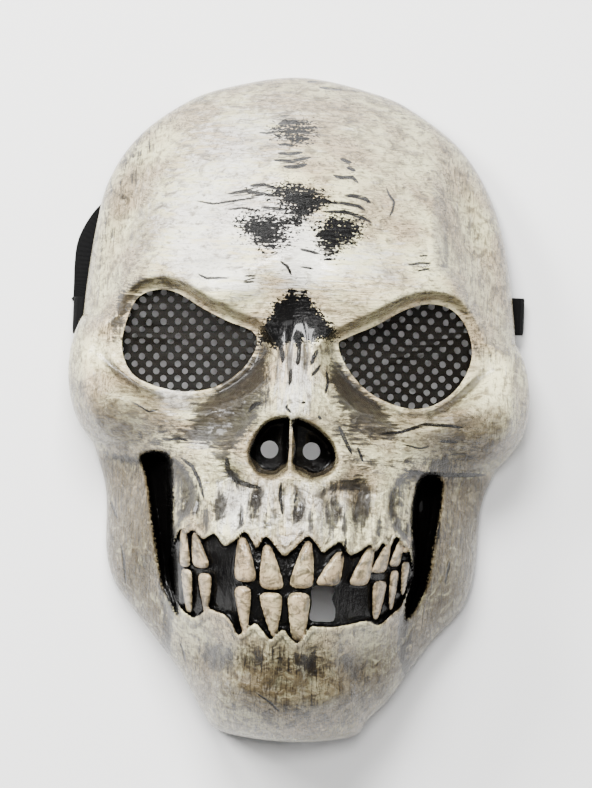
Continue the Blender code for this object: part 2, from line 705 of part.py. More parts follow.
def strap_sections(per_span):
    """The band as middles, width vectors and thickness normals, from its left end to its right."""
    across = np.array([0.0, STRAP_WIDTH, 0.0])
    middles, widths, normals = [], [], []

    def add(middle, width, normal=None):
        middles.append(np.array(middle, float))
        widths.append(np.array(width, float))
        normals.append(normal)

    x, y, z = slot_centre(-1.0)
    rim_height = z - SLOT_BAR - SLOT_WIDTH / 2.0
    for out, up in through(LEFT_LOOP, per_span):
        add((x - out, y, rim_height + up), across)
    half = STRAP_WIDTH / 2.0
    fold = np.array([FOLD_OUTER_X + half, y, 0.0])
    slanted = np.array([-STRAP_WIDTH, STRAP_WIDTH, 0.0])
    upper, lower = FOLD_LAYERS
    outward = np.array([-1.0, -1.0, 0.0]) / math.sqrt(2.0)
    add(fold + (0.0, 0.0, upper), slanted, (0.0, 0.0, -1.0))
    add(fold + (0.0, 0.0, (upper + lower) / 2.0) + outward * (upper - lower) / 2.0, slanted, -outward)
    add(fold + (0.0, 0.0, lower), slanted, (0.0, 0.0, 1.0))
    run = through(HIDDEN_STRETCH, per_span)
    heading = np.gradient(run[:, :2], axis=0)
    heading /= np.linalg.norm(heading, axis=1)[:, None]
    for (px, py, pz, flat), (hx, hy) in zip(run, heading):
        turn = flat * math.pi / 2.0
        add(
            (px, py, pz),
            STRAP_WIDTH * np.array([-hy * math.sin(turn), hx * math.sin(turn), math.cos(turn)]),
        )
    x, y, z = slot_centre(1.0)
    rim_height = z - SLOT_BAR - SLOT_WIDTH / 2.0
    for out, up in through(RIGHT_LOOP, per_span):
        add((x + out, y, rim_height + up), across)
    middles, widths = np.array(middles), np.array(widths)
    along = np.gradient(middles, axis=0)
    found = np.cross(along, widths)
    found /= np.linalg.norm(found, axis=1)[:, None]
    for i, normal in enumerate(normals):
        if normal is not None:
            found[i] = normal
    return middles, widths, found


def make_strap():
    """A flat band that turns round both slot bars and folds once beside the left temple."""
    middles, widths, normals = strap_sections(1)
    corners = []
    for w, n in ((-0.5, -0.5), (0.5, -0.5), (0.5, 0.5), (-0.5, 0.5)):
        corners.append(middles + widths * w + normals * n * STRAP_THICKNESS)
    points = np.stack(corners, 1).reshape(-1, 3)
    faces = [[3, 2, 1, 0]]
    count = len(middles)
    for k in range(count - 1):
        for i in range(4):
            j = (i + 1) % 4
            faces.append([4 * k + i, 4 * k + j, 4 * k + 4 + j, 4 * k + 4 + i])
    faces.append([4 * count - 4 + i for i in range(4)])
    strap = to_object("elastic_strap", points, faces)
    face_outward(strap)
    strap.data.materials.append(material("black_elastic", (0.015, 0.015, 0.016), 0.75))
    return strap


def stand_on_origin(pieces):
    """Moves the pieces so that the origin is under the middle of their common box, at its floor."""
    low, high = np.full(3, 1e9), np.full(3, -1e9)
    bpy.context.view_layer.update()
    graph = bpy.context.evaluated_depsgraph_get()
    for piece in pieces:
        evaluated = piece.evaluated_get(graph)
        mesh = evaluated.to_mesh()
        points = np.empty(len(mesh.vertices) * 3)
        mesh.vertices.foreach_get("co", points)
        evaluated.to_mesh_clear()
        low = np.minimum(low, points.reshape(-1, 3).min(0))
        high = np.maximum(high, points.reshape(-1, 3).max(0))
    shift = Vector((-(low[0] + high[0]) / 2.0, -(low[1] + high[1]) / 2.0, -low[2]))
    for item in bpy.data.objects:
        item.location = shift


clear_scene()
nodes = [make_shell()]
for eye in ("left", "right"):
    nodes.append(make_eye_panel(eye))
nodes.append(make_strap())
stand_on_origin(nodes)
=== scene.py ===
"""Looks of a full-face skull mask: bone plastic darkened by age and by painted shade, netted eye openings and
a ribbed elastic strap.

The mask lies on its rim, face up. X runs to the viewer's right, Y to the forehead and Z out of the face.
Sizes are in millimetres, and each mesh is scaled to metres as it is made.
"""

import math

import bmesh
import bpy
import numpy as np
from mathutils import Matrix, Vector
from mathutils.geometry import tessellate_polygon
from mathutils.kdtree import KDTree


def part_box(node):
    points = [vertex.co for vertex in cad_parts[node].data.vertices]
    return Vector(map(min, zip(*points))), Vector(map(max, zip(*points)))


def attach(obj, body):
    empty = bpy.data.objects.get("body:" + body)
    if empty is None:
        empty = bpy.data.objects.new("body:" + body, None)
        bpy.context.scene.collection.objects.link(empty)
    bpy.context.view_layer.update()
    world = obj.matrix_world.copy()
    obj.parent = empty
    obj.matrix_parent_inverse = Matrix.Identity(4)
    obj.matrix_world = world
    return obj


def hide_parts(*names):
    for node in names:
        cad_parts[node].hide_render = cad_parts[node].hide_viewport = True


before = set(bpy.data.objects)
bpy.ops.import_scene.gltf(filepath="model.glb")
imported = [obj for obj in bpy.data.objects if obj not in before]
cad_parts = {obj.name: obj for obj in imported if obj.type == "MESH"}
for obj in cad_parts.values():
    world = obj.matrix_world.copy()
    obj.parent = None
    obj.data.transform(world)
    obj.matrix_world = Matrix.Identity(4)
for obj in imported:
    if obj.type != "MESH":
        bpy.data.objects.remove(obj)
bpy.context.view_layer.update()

MM = 0.001

# Driving dimensions
WALL = 2.0
FACE_CENTRE = (0.0, 5.0)
RIM_TRIM = 0.15
PANEL_THICKNESS = 1.0
PANEL_DROP = 2.9
PANEL_MARGIN = 3.0
BREATHING_HOLE = 6.8
SLOT_LENGTH = 18.0
SLOT_HEIGHTS = {-1.0: 34.0, 1.0: 39.5}
SLOT_WIDTH = 3.4
SLOT_BAR = 4.2
STRAP_WIDTH = 14.5
STRAP_THICKNESS = 1.3

# The rim seen from the front: height on the face, left edge, right edge
RIM_ROWS = (
    (124.5, -32, 28.5),
    (117, -48.5, 45),
    (104, -64.5, 62),
    (87, -75, 73.5),
    (67, -79.5, 80.5),
    (40, -82.5, 85),
    (15, -83.5, 87),
    (-5, -81, 86),
    (-20, -75.5, 80.5),
    (-35, -71.3, 75.3),
    (-57, -70.3, 74),
    (-69, -67, 71.8),
    (-78, -60.5, 67.5),
    (-89, -51.5, 57.5),
    (-101, -41.5, 49),
    (-111, -34.8, 42.5),
    (-120, -29.5, 34),
    (-126.5, -22, 28),
)
RIM_TOP = (-2, 130)
RIM_BOTTOM = (4, -129.3)

# How the face turns down to its side, by direction from the face centre: degrees, height of the
# turn, roundness of the face inside it, sharpness of the turn, lift of the rim off the floor
SIDES = (
    (0, 44, 3, 5, 5),
    (30, 37, 2.9, 5, 7),
    (60, 24, 3, 4, 3),
    (90, 20, 4.4, 4, -4),
    (120, 24, 3, 4, 3),
    (150, 37, 2.9, 5, 7),
    (180, 44, 3, 5, 5),
    (207, 27, 2.5, 5, -2),
    (230, 33, 3, 5, -3),
    (249, 50, 4, 6, 2),
    (270, 70, 7, 7, 8),
    (291, 50, 4, 6, 2),
    (310, 33, 3, 5, -3),
    (333, 27, 2.5, 5, -2),
)

# Height of the face along its middle, without the nose
MIDDLE = (
    (-131, 92),
    (-112, 94),
    (-97, 88),
    (-80, 93),
    (-60, 95),
    (-40, 91),
    (-20, 85),
    (0, 82),
    (25, 82),
    (45, 86),
    (70, 88),
    (100, 86),
    (131, 84),
)

# Oval swellings and hollows: centre x, centre y, half-length, half-width, tilt in degrees, height
SWELLINGS = (
    (-29, 48, 25, 10, -24, 8.5),
    (31, 46, 25, 10, 22, 8.5),
    (-58, 53, 16, 9, 4, 5),
    (60, 51, 16, 9, -4, 5),
    (1, 38, 6.5, 10, 0, -4.5),
    (1, -6, 22, 22, 0, 9),
    (1, -3, 11, 17, 0, 7),
    (-68, 2, 20, 13, -20, 8.5),
    (70, -2, 20, 13, 20, 8.5),
    (-38, -14, 20, 10, 12, 4),
    (40, -16, 20, 10, -12, 4),
    (-66, 70, 9, 24, 20, -6),
    (69, 70, 9, 26, -16, -7),
    (0, 78, 36, 24, 0, 2),
    (-18, -113, 13, 10, 20, 3.5),
    (19, -114, 13, 10, -20, 3.5),
    (-33, -94, 13, 9, 40, -4),
    (35, -92, 13, 9, -40, -4),
    (-25, -30, 10, 9, 30, -4),
    (27, -32, 10, 9, -30, -4.5),
    (0, -58, 42, 24, 0, 4),
)

# Where the cheekbones stand out past the rim: side, height on the face, half-length, overhang
CHEEKBONES = (
    (-1, 9, 25, 8.3),
    (1, 4, 25, 9.6),
)

# Outlines seen from the front, each a smooth closed curve
EYE_LEFT = (
    (-66.8, 27), (-66.2, 18), (-61.5, 10.8), (-52, 6.9), (-41, 5.6), (-30, 7.9),
    (-20.5, 14.5), (-14.9, 23.5), (-16.3, 29.7), (-26, 33.4), (-36, 38), (-46.5, 43.8),
    (-55, 44.5), (-62.5, 40),
)
EYE_RIGHT = (
    (17, 26), (20.5, 17.6), (28.5, 8.9), (38, 4.1), (47.5, 2.3), (56.5, 4.9), (64.5, 12),
    (69, 23), (66.8, 34), (60.5, 41.3), (51.5, 43.2), (42, 40.4), (31, 33.9), (20.5, 29),
)
NOSE = (
    (-16.6, -18.5), (-14.8, -11.2), (-10.7, -5.1), (-4.5, -2.3), (3, -2.5), (10, -5.7),
    (16.6, -11.8), (18.7, -19), (15.8, -24.3), (9.2, -27), (2.6, -24.3), (-1, -23.6),
    (-5.5, -26.6), (-12.5, -25.2),
)
GROOVE_LEFT = (
    (-58, -19.5), (-47.2, -19), (-44.5, -33), (-43.8, -48), (-41.5, -66), (-40.9, -81.5),
    (-47.5, -70.5), (-52, -50), (-55.5, -30),
)
GROOVE_RIGHT = (
    (50.6, -24.4), (59, -24), (59.8, -33), (57.6, -50), (54.8, -68), (48, -80),
    (46.6, -73), (48.9, -57), (47.6, -38),
)
MISSING_TOOTH = (
    (10.4, -68.2), (14.8, -67.4), (19.2, -68), (18.4, -72.5), (19.8, -76), (19.3, -80.8),
    (14.5, -81.3), (10.2, -80.6), (10.6, -74.5),
)

# Each cheek sinks under its cheekbone and beside the teeth, most near this outline's edge
CHEEK_LEFT = (
    (-96, -14), (-76.7, -16.8), (-68.3, -19.1), (-58.7, -20.3), (-48, -19.8), (-40.7, -22.6),
    (-36.7, -31.3), (-36.6, -38.5), (-41.8, -48.5), (-44.6, -60), (-44.5, -72), (-42, -84),
    (-52, -112), (-100, -112),
)
CHEEK_RIGHT = (
    (96, -18), (79.9, -20.1), (65.6, -21.2), (53.6, -21.7), (45.3, -22), (39.6, -28.3),
    (38.6, -34.4), (39.5, -43.8), (46.6, -50.5), (49, -60), (48.6, -70), (44, -84),
    (54, -114), (100, -114),
)
CHEEK_DROP = 3.4
CHEEK_STEP = 3.4
CHEEK_LEVEL = 7.0
CHEEK_RETURN = 26.0
SOCKET_WIDTH = 9.0
NOSE_DEPTH = 16.0
GROOVE_DEPTH = 12.0
SEPTUM = (0.2, 2)
BREATHING_X = (-8.1, 8.2)
BREATHING_Y = -15.6

# The surface that an eye opening lies in: centre x, centre y, height, slope to the nose, slope up,
# hollow of the curve
EYE_PLANES = {
    "left": (-41, 25, 65, 0.42, 0, 0.005),
    "right": (43, 23, 65, 0.42, 0, 0.005),
}

# Spacing of the fine shell's points in zones: start, end, step
FINE_COLUMNS = ((-84, -50, 1.4), (-50, 52, 0.68), (52, 88, 1.4))
FINE_ROWS = (
    (-129.5, -98, 1.3), (-98, -44, 0.6), (-44, 2, 0.85), (2, 50, 0.8),
    (50, 122, 0.95), (122, 130, 1.3),
)
FINE_SIDES = (1.03, 1.07, 1.12, 1.18, 1.25, 1.33, 1.41, 1.49, 1.57, 1.65, 1.74, 1.83, 1.92, 2)
BACK_EVERY = 3
BACK_INSET = 1.06 * WALL

# Teeth, seen from the front: x at the biting edge, width, root end, biting edge, lean of the root in
# degrees, taper to the root
FINE_UPPER = (
    (-38.9, 4.5, -47.3, -62.5, -5, 0.45),
    (-32.4, 7.1, -48.7, -62.6, -14, 0.75),
    (-15.1, 9.2, -49.7, -67.2, -7, 0.62),
    (-4.8, 10.1, -52.2, -69.7, -9, 0.68),
    (6.1, 10.1, -50, -68.8, 7, 0.72),
    (16, 9.9, -53.8, -67.5, 20, 0.68),
    (28.1, 8.2, -51.6, -67, 17, 0.60),
    (35.7, 6.2, -50.3, -61.8, 18, 0.60),
    (41.8, 4.5, -48.6, -59.2, 14, 0.50),
    (46.1, 2.7, -46.9, -53.6, 13, 0.40),
)
FINE_LOWER = (
    (-38.5, 4.7, -80.3, -62.9, 6, 0.50),
    (-31.2, 5.8, -80.6, -64.3, 4, 0.75),
    (-16.4, 7.1, -87.6, -68.6, 5, 0.75),
    (-5.4, 9.9, -88.4, -70.6, 6, 0.86),
    (5.6, 9.4, -89.2, -70.2, 1, 0.45),
    (36.9, 5.8, -80, -64.5, -5, 0.60),
    (42.4, 3.9, -76.2, -60.2, -4, 0.60),
    (46.6, 3.5, -70.2, -56.7, -4, 0.60),
)
TOOTH_STANDS = 4.4
GUM_STANDS = 3.2
GUM_ROLL = 1.3
EYE_LIP = 0.9
EYE_GUTTER = 0.5
NOSE_RIM = 1.7
TEMPLE_STEPS = (2.8, 2.7)

# The heights between which the shell's cutters reach, and a slot cutter's half width
CUTS = {"eye": (20.0, 120.0), "tooth": (60.0, 120.0), "breath": (50.0, 110.0)}
SLOT_CUT = 7.0
SHELL_CREASE = 62.0

# The edges of the bone that frames the teeth: x, y
UPPER_GUM = (
    (-60, -68), (-46.5, -66), (-43.4, -53), (-41.4, -47), (-39.5, -50.5), (-36.2, -48.1), (-32.5, -52),
    (-28.2, -49), (-24, -54.4), (-20.5, -52.5), (-16.4, -47.5), (-13.5, -51), (-11.8, -55.5),
    (-8.2, -49.1), (-4, -53.5), (-0.8, -57.4), (3, -54), (8.2, -48.5), (11.5, -51.5),
    (13.9, -55.6), (17.5, -52.5), (20.8, -50.3), (22.8, -53), (24.5, -56.4), (28.5, -54),
    (32.5, -50.8), (34.5, -54.5), (37.5, -49.5), (39.5, -54), (42.5, -46.5), (44.5, -51),
    (47.4, -52), (50.5, -66), (60, -68),
)
LOWER_GUM = (
    (-60, -54), (-46.5, -57), (-43.8, -71), (-41, -77), (-38, -80), (-35, -81.5), (-32.5, -80.5),
    (-29.5, -77.5), (-26.9, -78.4), (-23, -79.5), (-20, -82), (-17.6, -88), (-14, -84.5),
    (-10.8, -82), (-7.5, -86), (-4.5, -89.2), (-2.2, -86), (0.2, -83.9), (2.6, -87.5),
    (5.6, -90), (8.8, -86), (10.7, -82.3), (15, -82.8), (20, -82.6), (26, -81.5),
    (31, -80), (34, -80.5), (36.5, -82), (39.5, -79.5), (42, -77), (45, -74.5),
    (47.8, -68), (50.5, -55), (60, -54),
)

# The grooves between the roots of the upper teeth: x, y
ROOT_GROOVES = ((-31.5, -43), (-18, -42), (-8.2, -43), (9, -42), (22.5, -44), (35.5, -43.5))

# Pits and furrows of the bone: x, y, half-length, half-width, tilt in degrees, depth
PITS = (
    (-26.5, -38.9, 5, 1.9, 80, 2.4),
    (-13.2, -37, 6, 1.9, 82, 1.8),
    (4.1, -39.3, 4.5, 2.6, 70, 2),
    (17.5, -39, 7, 2.6, 82, 2.2),
    (28.7, -37, 9.5, 3.1, 88, 3),
    (39, -36, 8, 2.2, 82, 1.5),
    (-36, -36, 9, 2, 100, 1.8),
    (-22, -25.5, 9, 2.2, -48, 1.8),
    (21.5, -28.5, 7, 2.2, 12, 1.5),
    (-19.5, 3, 20, 6, 62, 2.6),
    (25.5, 4.5, 18, 5.5, -46, 2.6),
    (-31, -9, 14, 5, 24, 1.6),
    (-1.8, 22, 7, 1.3, 88, 1.3),
    (4.6, 22, 6, 1.3, 92, 1.2),
    (-6, 22, 7, 1.2, 86, 1),
    (-30, -103, 12, 5, 60, 1.5),
    (-18, -98, 9, 5, -20, 1.8),
    (12, -100, 8, 4, 70, 1.5),
    (26, -98, 9, 4, -60, 1.5),
    (0, -108, 7, 3, 0, 1.2),
) + tuple((x, y, 4.4, 1.3, 90, 1) for x, y in ROOT_GROOVES)

# The deepest that pits may go into the wall
PIT_LIMIT = 1.35

# Ridges of the bone: x, y, half-length, half-width, tilt in degrees, height
RIDGES = (
    (-4, 20, 11, 2, 88, 1.5),
    (1.4, 20, 11, 1.8, 90, 1.3),
    (7.6, 18, 9, 2.2, 94, 1.2),
    (-20, -40, 11, 2.8, 82, 2),
    (-8.5, -40, 10, 2.8, 84, 1.8),
    (0.2, -36, 9, 1.5, 89, 1.6),
    (10, -40, 11, 3, 92, 2.4),
    (22.6, -41, 12, 2.6, 94, 2.2),
    (34.2, -40, 12, 2.3, 94, 2),
    (-31.5, -38, 10, 2.6, 98, 2),
    (-5.5, -98, 9, 4.5, 80, 1.6),
    (8, -104, 12, 3, 95, 1.8),
    (-18, -107, 14, 3, -14, 1.6),
    (22, -110, 10, 3, 30, 1.2),
    (-46, -4, 15, 4, 14, 1.4),
    (52, -6, 15, 3, -8, 1.2),
    (-33, 62, 26, 6, -6, 1),
    (34, 58, 22, 6, 4, 1),
    (-0.5, 1.9, 1.6, 1.6, 0, 1.2),
    (4, 2.2, 5, 1.6, 10, 0.9),
)

# The edge of each temple: x, y, from the top down
TEMPLE_LEFT = ((-44, 113), (-52, 94), (-57, 84), (-57.5, 74), (-64, 54), (-69, 44))
TEMPLE_RIGHT = ((50, 104), (52.6, 90), (53.9, 58.4), (61.5, 51.7), (68.3, 39.8), (72, 30))

# Dark washes in the hollows, with painted shade under the cheekbones, above the eye openings and under the
# chin: x, y, half-length, half-width, tilt in degrees, strength
WASHES_AND_SHADE = (
    (-26, 1, 12, 7, 52, 1.3),
    (28, -1, 12, 7, -46, 0.7),
    (-15, 15, 11, 4.5, 68, 1),
    (-20.5, 0, 14, 8, 58, 1.4),
    (-30, -6.5, 13, 6, 24, 1),
    (-24.5, -14, 8, 5, 55, 0.75),
    (17.5, 14, 10, 3.5, -62, 0.7),
    (26, 4.5, 14, 5.5, -44, 1.15),
    (36, -5, 8, 4, -25, 0.9),
    (23.5, -13, 12, 5.5, -60, 0.62),
    (-67.5, 31, 10, 3, 92, 0.85),
    (-64, 42, 8, 4.5, 45, 0.75),
    (-53, 47, 11, 2.4, 2, 0.42),
    (-40, 41.5, 14, 1.8, -26, 0.36),
    (70, 30, 10, 3, -85, 0.6),
    (63, 43, 9, 2.4, -40, 0.4),
    (46, 45.5, 16, 2, 14, 0.32),
    (28, 37.5, 12, 1.8, 30, 0.26),
    (-50, -13, 14, 5, 8, 0.45),
    (-38, -2, 8, 4, 20, 0.5),
    (52, -19, 20, 4, 0, 0.55),
    (64, -14, 14, 6, 22, 0.35),
    (-60, -23, 14, 4, 0, 0.55),
    (-26.5, -38.9, 6, 2.6, 80, 1.4),
    (-13.2, -37, 6.5, 2.4, 82, 1.1),
    (4.1, -39.3, 4.6, 2.8, 70, 1.1),
    (17.5, -40, 7.5, 3, 82, 1.2),
    (28.7, -37, 9.5, 3.4, 88, 1.35),
    (-36, -36, 9.5, 2.8, 100, 1.1),
    (-22, -26, 9, 2.6, -48, 1),
    (21.5, -28.5, 8, 2.8, 10, 1),
    (-47.5, -28, 5, 12, 0, 0.6),
    (0, -120, 46, 9, 0, 0.42),
    (-22, -97, 13, 7, -12, 0.6),
    (2, -97, 16, 6, 0, 0.5),
    (12, -101, 8, 10, 0, 0.42),
    (34, -104, 14, 7, 60, 0.32),
    (-40, -94, 14, 5, 60, 0.35),
    (-74, 66, 26, 5, 70, 0.35),
    (-66, 96, 18, 5, 52, 0.4),
    (15, 68, 9, 6, 25, 0.75),
    (-20, 58, 12, 5, 10, 0.22),
) + tuple((x, y, 5, 1.2, 90, 1) for x, y in ROOT_GROOVES)

# Where the paint is darker, for older paint and for painted shade on the sides, jaw and chin: x, y,
# half-length, half-width, tilt in degrees, strength
AGED_AND_SHADED = (
    (-66, -52, 48, 17, 90, 1.45),
    (66, -54, 48, 17, 90, 1.3),
    (0, -110, 46, 20, 0, 0.95),
    (2, -101, 26, 11, 0, 0.55),
    (46, -90, 32, 14, 60, 1),
    (-46, -92, 30, 14, -60, 0.65),
    (66, 76, 48, 13, -72, 0.5),
    (-70, 82, 48, 12, 72, 0.72),
    (34, 98, 30, 18, -30, 0.25),
    (-62, -6, 20, 10, 0, 0.45),
    (66, -8, 24, 13, 0, 0.6),
    (0, -60, 50, 12, 0, 0.3),
    (-20, -2, 14, 12, 30, 0.5),
    (28, -6, 16, 12, -30, 0.45),
)

# Painted highlights, brushed on the high bone and strongest on the left: x, y, half-length, half-width, tilt
# in degrees, strength
PAINTED_HIGHLIGHTS = (
    (-30, 74, 30, 16, 8, 0.9),
    (-24, 104, 26, 14, 20, 0.7),
    (-32, 52, 20, 8, -14, 0.9),
    (2, 56, 10, 10, 0, 1),
    (26, 58, 22, 10, 6, 0.5),
    (-3, 68, 12, 10, 0, 0.8),
    (-46, 5, 8, 12, 20, 0.8),
    (-34, -12, 8, 5, 20, 0.8),
    (1, 10, 9, 16, 0, 0.8),
    (0, -38, 30, 12, 0, 0.6),
    (-22, -38, 6, 10, 0, 0.8),
    (60, -2, 12, 8, -10, 0.4),
    (-14, -107, 14, 6, -10, 0.5),
    (8, -104, 3, 8, 0, 0.7),
)

# Black brushed marks, each a closed outline with the unevenness of its edge in millimetres
INK_PATCHES = (
    (2.2, (-14.3, 24.8), (-13.4, 31), (-10.5, 36.5), (-7.8, 41), (-4.5, 43.5), (-2.2, 47.5),
     (0.8, 44), (3, 47), (6.5, 41.5), (10.5, 37.5), (14.3, 33.4), (16.2, 29.5), (13.5, 27.2),
     (9.5, 28), (6.5, 25.5), (3.5, 27), (1.5, 24.5), (-2, 26.5), (-5.5, 23.5), (-10, 24.8)),
    (5, (-9.5, 86), (-0.3, 87.2), (7.5, 85.5), (12.2, 81.2), (8, 78.6), (4.2, 75.6),
     (0.2, 72.4), (-3.5, 74.2), (-6.6, 77.8), (-9.8, 81.6)),
    (5.6, (-23.5, 72.5), (-17, 75.4), (-11.6, 75.9), (-2.6, 74.8), (1.3, 72), (-5.5, 69.7),
     (-3, 66.4), (-8.8, 62.3), (-14.3, 62.7), (-19.6, 66.1), (-21.7, 69.4)),
    (5.4, (6.3, 71.3), (10.9, 74.9), (19.6, 75.9), (24.7, 71), (21.7, 66.6), (16.6, 63.7),
     (12.4, 60.4), (9, 62.6), (6, 67.4)),
    (5.6, (-10.9, 109.9), (-2.9, 111.6), (3.6, 111), (3, 107.4), (1.2, 104.6), (-5, 104.2),
     (-9.6, 106.2)),
)

# Dark cracks: width, then points along the crack
CRACKS = (
    (0.7, (-8.2, 117.2), (-2.8, 117.8), (3.9, 117.6)),
    (0.6, (-10.4, 113.9), (-3.4, 115), (4, 114.5)),
    (1.0, (-10.3, 111.2), (-4.5, 111.5), (0.9, 112.8)),
    (0.45, (-17.6, 107.4), (-13.7, 107.2), (-9.4, 108.1)),
    (0.6, (-9.6, 102.7), (-6.5, 103.2), (-3.7, 102.5)),
    (0.7, (-9.9, 99.5), (-4.8, 99.3), (0.7, 100.3)),
    (0.7, (-11.7, 96.7), (-3.9, 96.6), (4.2, 98.5)),
    (0.9, (-7.3, 94.2), (-2.2, 94.4), (2.4, 95.7)),
    (0.45, (0.7, 128.4), (5, 128.6)),
    (0.5, (4.7, 126.3), (9.8, 126.1), (15.3, 125.5)),
    (0.8, (-20.2, 86.2), (-14.4, 86.9), (-8.1, 85.2)),
    (0.8, (-29.1, 82.7), (-21.3, 84.2), (-15.1, 83.3), (-8, 82.4)),
    (0.7, (-15.6, 78.2), (-10.1, 77.7), (-4.7, 77.5)),
    (0.4, (-42.2, 79.9), (-33.6, 78.7), (-23.5, 80.6), (-14.6, 82.2)),
    (0.4, (-28.8, 76.5), (-22.2, 77.6), (-16.3, 76.6)),
    (0.7, (14.4, 98.5), (17.2, 97.5), (19.5, 96.8)),
    (0.7, (17.3, 95.1), (21.2, 93.7)),
    (0.8, (11.9, 91.8), (15.9, 90.8), (19.8, 91.3), (22.6, 88.7)),
    (1.0, (16.6, 83.9), (21.6, 83.9), (24.8, 83.2), (27.6, 81.3)),
    (0.7, (10, 80.9), (16.3, 80.9), (22.5, 80.1), (25.7, 78.3)),
    (0.8, (7.8, 77.2), (17.2, 77.6), (22.7, 76.2), (28.6, 73.6)),
    (0.5, (32.8, 88.4), (34.5, 84.9), (36.5, 82.3), (35.9, 78.7), (34.4, 75.9)),
    (0.5, (42.2, 57.9), (47.2, 58.9), (52.3, 59.1)),
    (0.4, (46.7, 61.6), (50.6, 62.1)),
    (0.4, (46.2, 55.7), (51.6, 57.1)),
    (0.5, (-39.1, 51.5), (-35.2, 49.7), (-31.3, 49.9), (-25.8, 50.1)),
    (0.4, (-20.8, 51.1), (-15.7, 51.3)),
    (0.4, (-21.1, 48.7), (-16, 48.9)),
    (0.6, (-7, 57.5), (-3.8, 55.3), (-2.1, 51.8)),
    (0.6, (0.2, 62.5), (8.5, 60.8)),
    (0.4, (0.9, 55.5), (6.4, 54.9)),
    (1.1, (-5.8, 27.1), (-4.6, 22.5), (-4.4, 17.8)),
    (1.3, (1.6, 28.2), (1.8, 22.7), (1.4, 17.2)),
    (1.1, (9.2, 23.8), (7.7, 21), (6.7, 17.8)),
    (0.9, (-0.9, 16), (-1.1, 12.9), (-1.4, 9.7)),
    (0.6, (6.8, 13.3), (9.1, 15.8), (10.5, 18.2)),
    (0.6, (-1.9, 2.3), (-2.2, 0.7), (0, -1.2)),
    (0.5, (3.4, 2.9), (5.3, 3.3)),
    (1.4, (-24.4, -18.7), (-24, -23.6), (-21, -27.8), (-16, -29.7), (-10.5, -30.7)),
    (0.8, (-17.1, -1.5), (-14.1, 1.8), (-11.8, 2.3)),
    (0.6, (12.6, 16.1), (13.6, 11.5), (12.6, 6.4)),
    (0.6, (10.2, -1.5), (11.5, -3.4)),
    (1.0, (43.8, -21.7), (54.8, -22.8), (66.5, -22.7), (77.4, -22.3)),
    (0.7, (33.9, -8), (42.4, -6.9), (52, -3.4), (62.6, -3.7), (66.5, -4.4)),
    (0.6, (57.4, -9.8), (64.4, -9.9)),
    (0.4, (42.6, -11.4), (50.4, -13), (54.3, -11.7)),
    (0.8, (-42.9, -19.7), (-37.7, -23.4), (-34.8, -28.7), (-32.5, -36.4)),
    (0.8, (18.2, -5.1), (21.1, -10.9), (24.1, -16.6)),
    (0.6, (25.9, -13.1), (28.5, -19.2)),
    (0.7, (-1.9, -41.1), (-3.3, -33.3), (-3, -27.5)),
    (0.6, (2.2, -36.1), (3.4, -31.9)),
    (0.5, (-47.9, -13.6), (-43.2, -12.7), (-39.3, -13.7)),
    (0.4, (-63.3, 1.4), (-55.3, -3), (-50.7, -1.3)),
    (0.6, (21.1, -57), (22.6, -52.9), (23, -48)),
    (0.4, (-10, -109.7), (-4, -113.4), (0.8, -117.8)),
    (0.4, (-40, -91.4), (-38.3, -96), (-37.3, -100.6)),
    (0.5, (63.9, -56), (62, -65.8)),
    (0.5, (59.4, -40.5), (58.2, -50.4)),
    (0.5, (-65, -53.4), (-63.1, -61.1), (-61.9, -70.8)),
    (0.5, (-69.5, -37.9), (-66.1, -45.6)),
)


def smooth(t):
    """A soft step from 0 to 1."""
    t = np.clip(t, 0.0, 1.0)
    return t * t * (3.0 - 2.0 * t)


def between(a, b, c, d, t):
    """The point at share t of a Catmull-Rom curve's span from b to c."""
    bend = (2.0 * a - 5.0 * b + 4.0 * c - d) * t**2 + (3.0 * b - a - 3.0 * c + d) * t**3
    return 0.5 * (2.0 * b + (c - a) * t + bend)


def closed_curve(points, per_span=6):
    """A closed Catmull-Rom curve through the points."""
    p = np.array(points, float)
    before, after, beyond = np.roll(p, 1, 0), np.roll(p, -1, 0), np.roll(p, -2, 0)
    rows = [between(before, p, after, beyond, t) for t in np.arange(per_span) / per_span]
    return np.stack(rows, 1).reshape(-1, 2)


def through(points, per_span):
    """An open Catmull-Rom curve through the points, ends kept."""
    p = np.array(points, float)
    p = np.vstack([2.0 * p[0] - p[1], p, 2.0 * p[-1] - p[-2]])
    spans = zip(p, p[1:], p[2:], p[3:])
    rows = [between(*span, t) for span in spans for t in np.arange(per_span) / per_span]
    return np.array(rows + [p[-2]])


def eased(table, fine, reach, at):
    """A table's values at some places, its corners eased over a reach of points of a fine grid."""
    kernel = np.hanning(2 * reach + 1)
    padded = np.pad(np.interp(fine, *np.array(table, float).T), reach, mode="edge")
    return np.interp(at, fine, np.convolve(padded, kernel / kernel.sum(), "valid"))


def signed_distance(x, y, loop):
    """The distance from each point to a closed loop, negative inside it."""
    best = np.full(x.shape, 1e9)
    inside = np.zeros(x.shape, bool)
    for (ax, ay), (bx, by) in zip(loop, np.roll(loop, -1, 0)):
        dx, dy = bx - ax, by - ay
        t = np.clip(((x - ax) * dx + (y - ay) * dy) / (dx * dx + dy * dy + 1e-12), 0.0, 1.0)
        best = np.minimum(best, np.hypot(x - ax - t * dx, y - ay - t * dy))
        if ay != by:
            crossing = (ay > y) != (by > y)
            inside ^= crossing & (x < ax + (y - ay) * dx / (by - ay))
    return np.where(inside, -best, best)


def rim_curve():
    """The rim seen from the front, as one closed curve."""
    right = [(r, y) for y, _, r in RIM_ROWS]
    left = [(l, y) for y, l, _ in reversed(RIM_ROWS)]
    return closed_curve([RIM_TOP] + right + [RIM_BOTTOM] + left, 12)


RIM = rim_curve()


def rim_radius(angle):
    """The distance from the face centre to the rim, in a direction in radians."""
    offset = RIM - FACE_CENTRE
    at = np.arctan2(offset[:, 1], offset[:, 0])
    order = np.argsort(at)
    return np.interp(angle, at[order], np.hypot(*offset.T)[order], period=2.0 * math.pi)


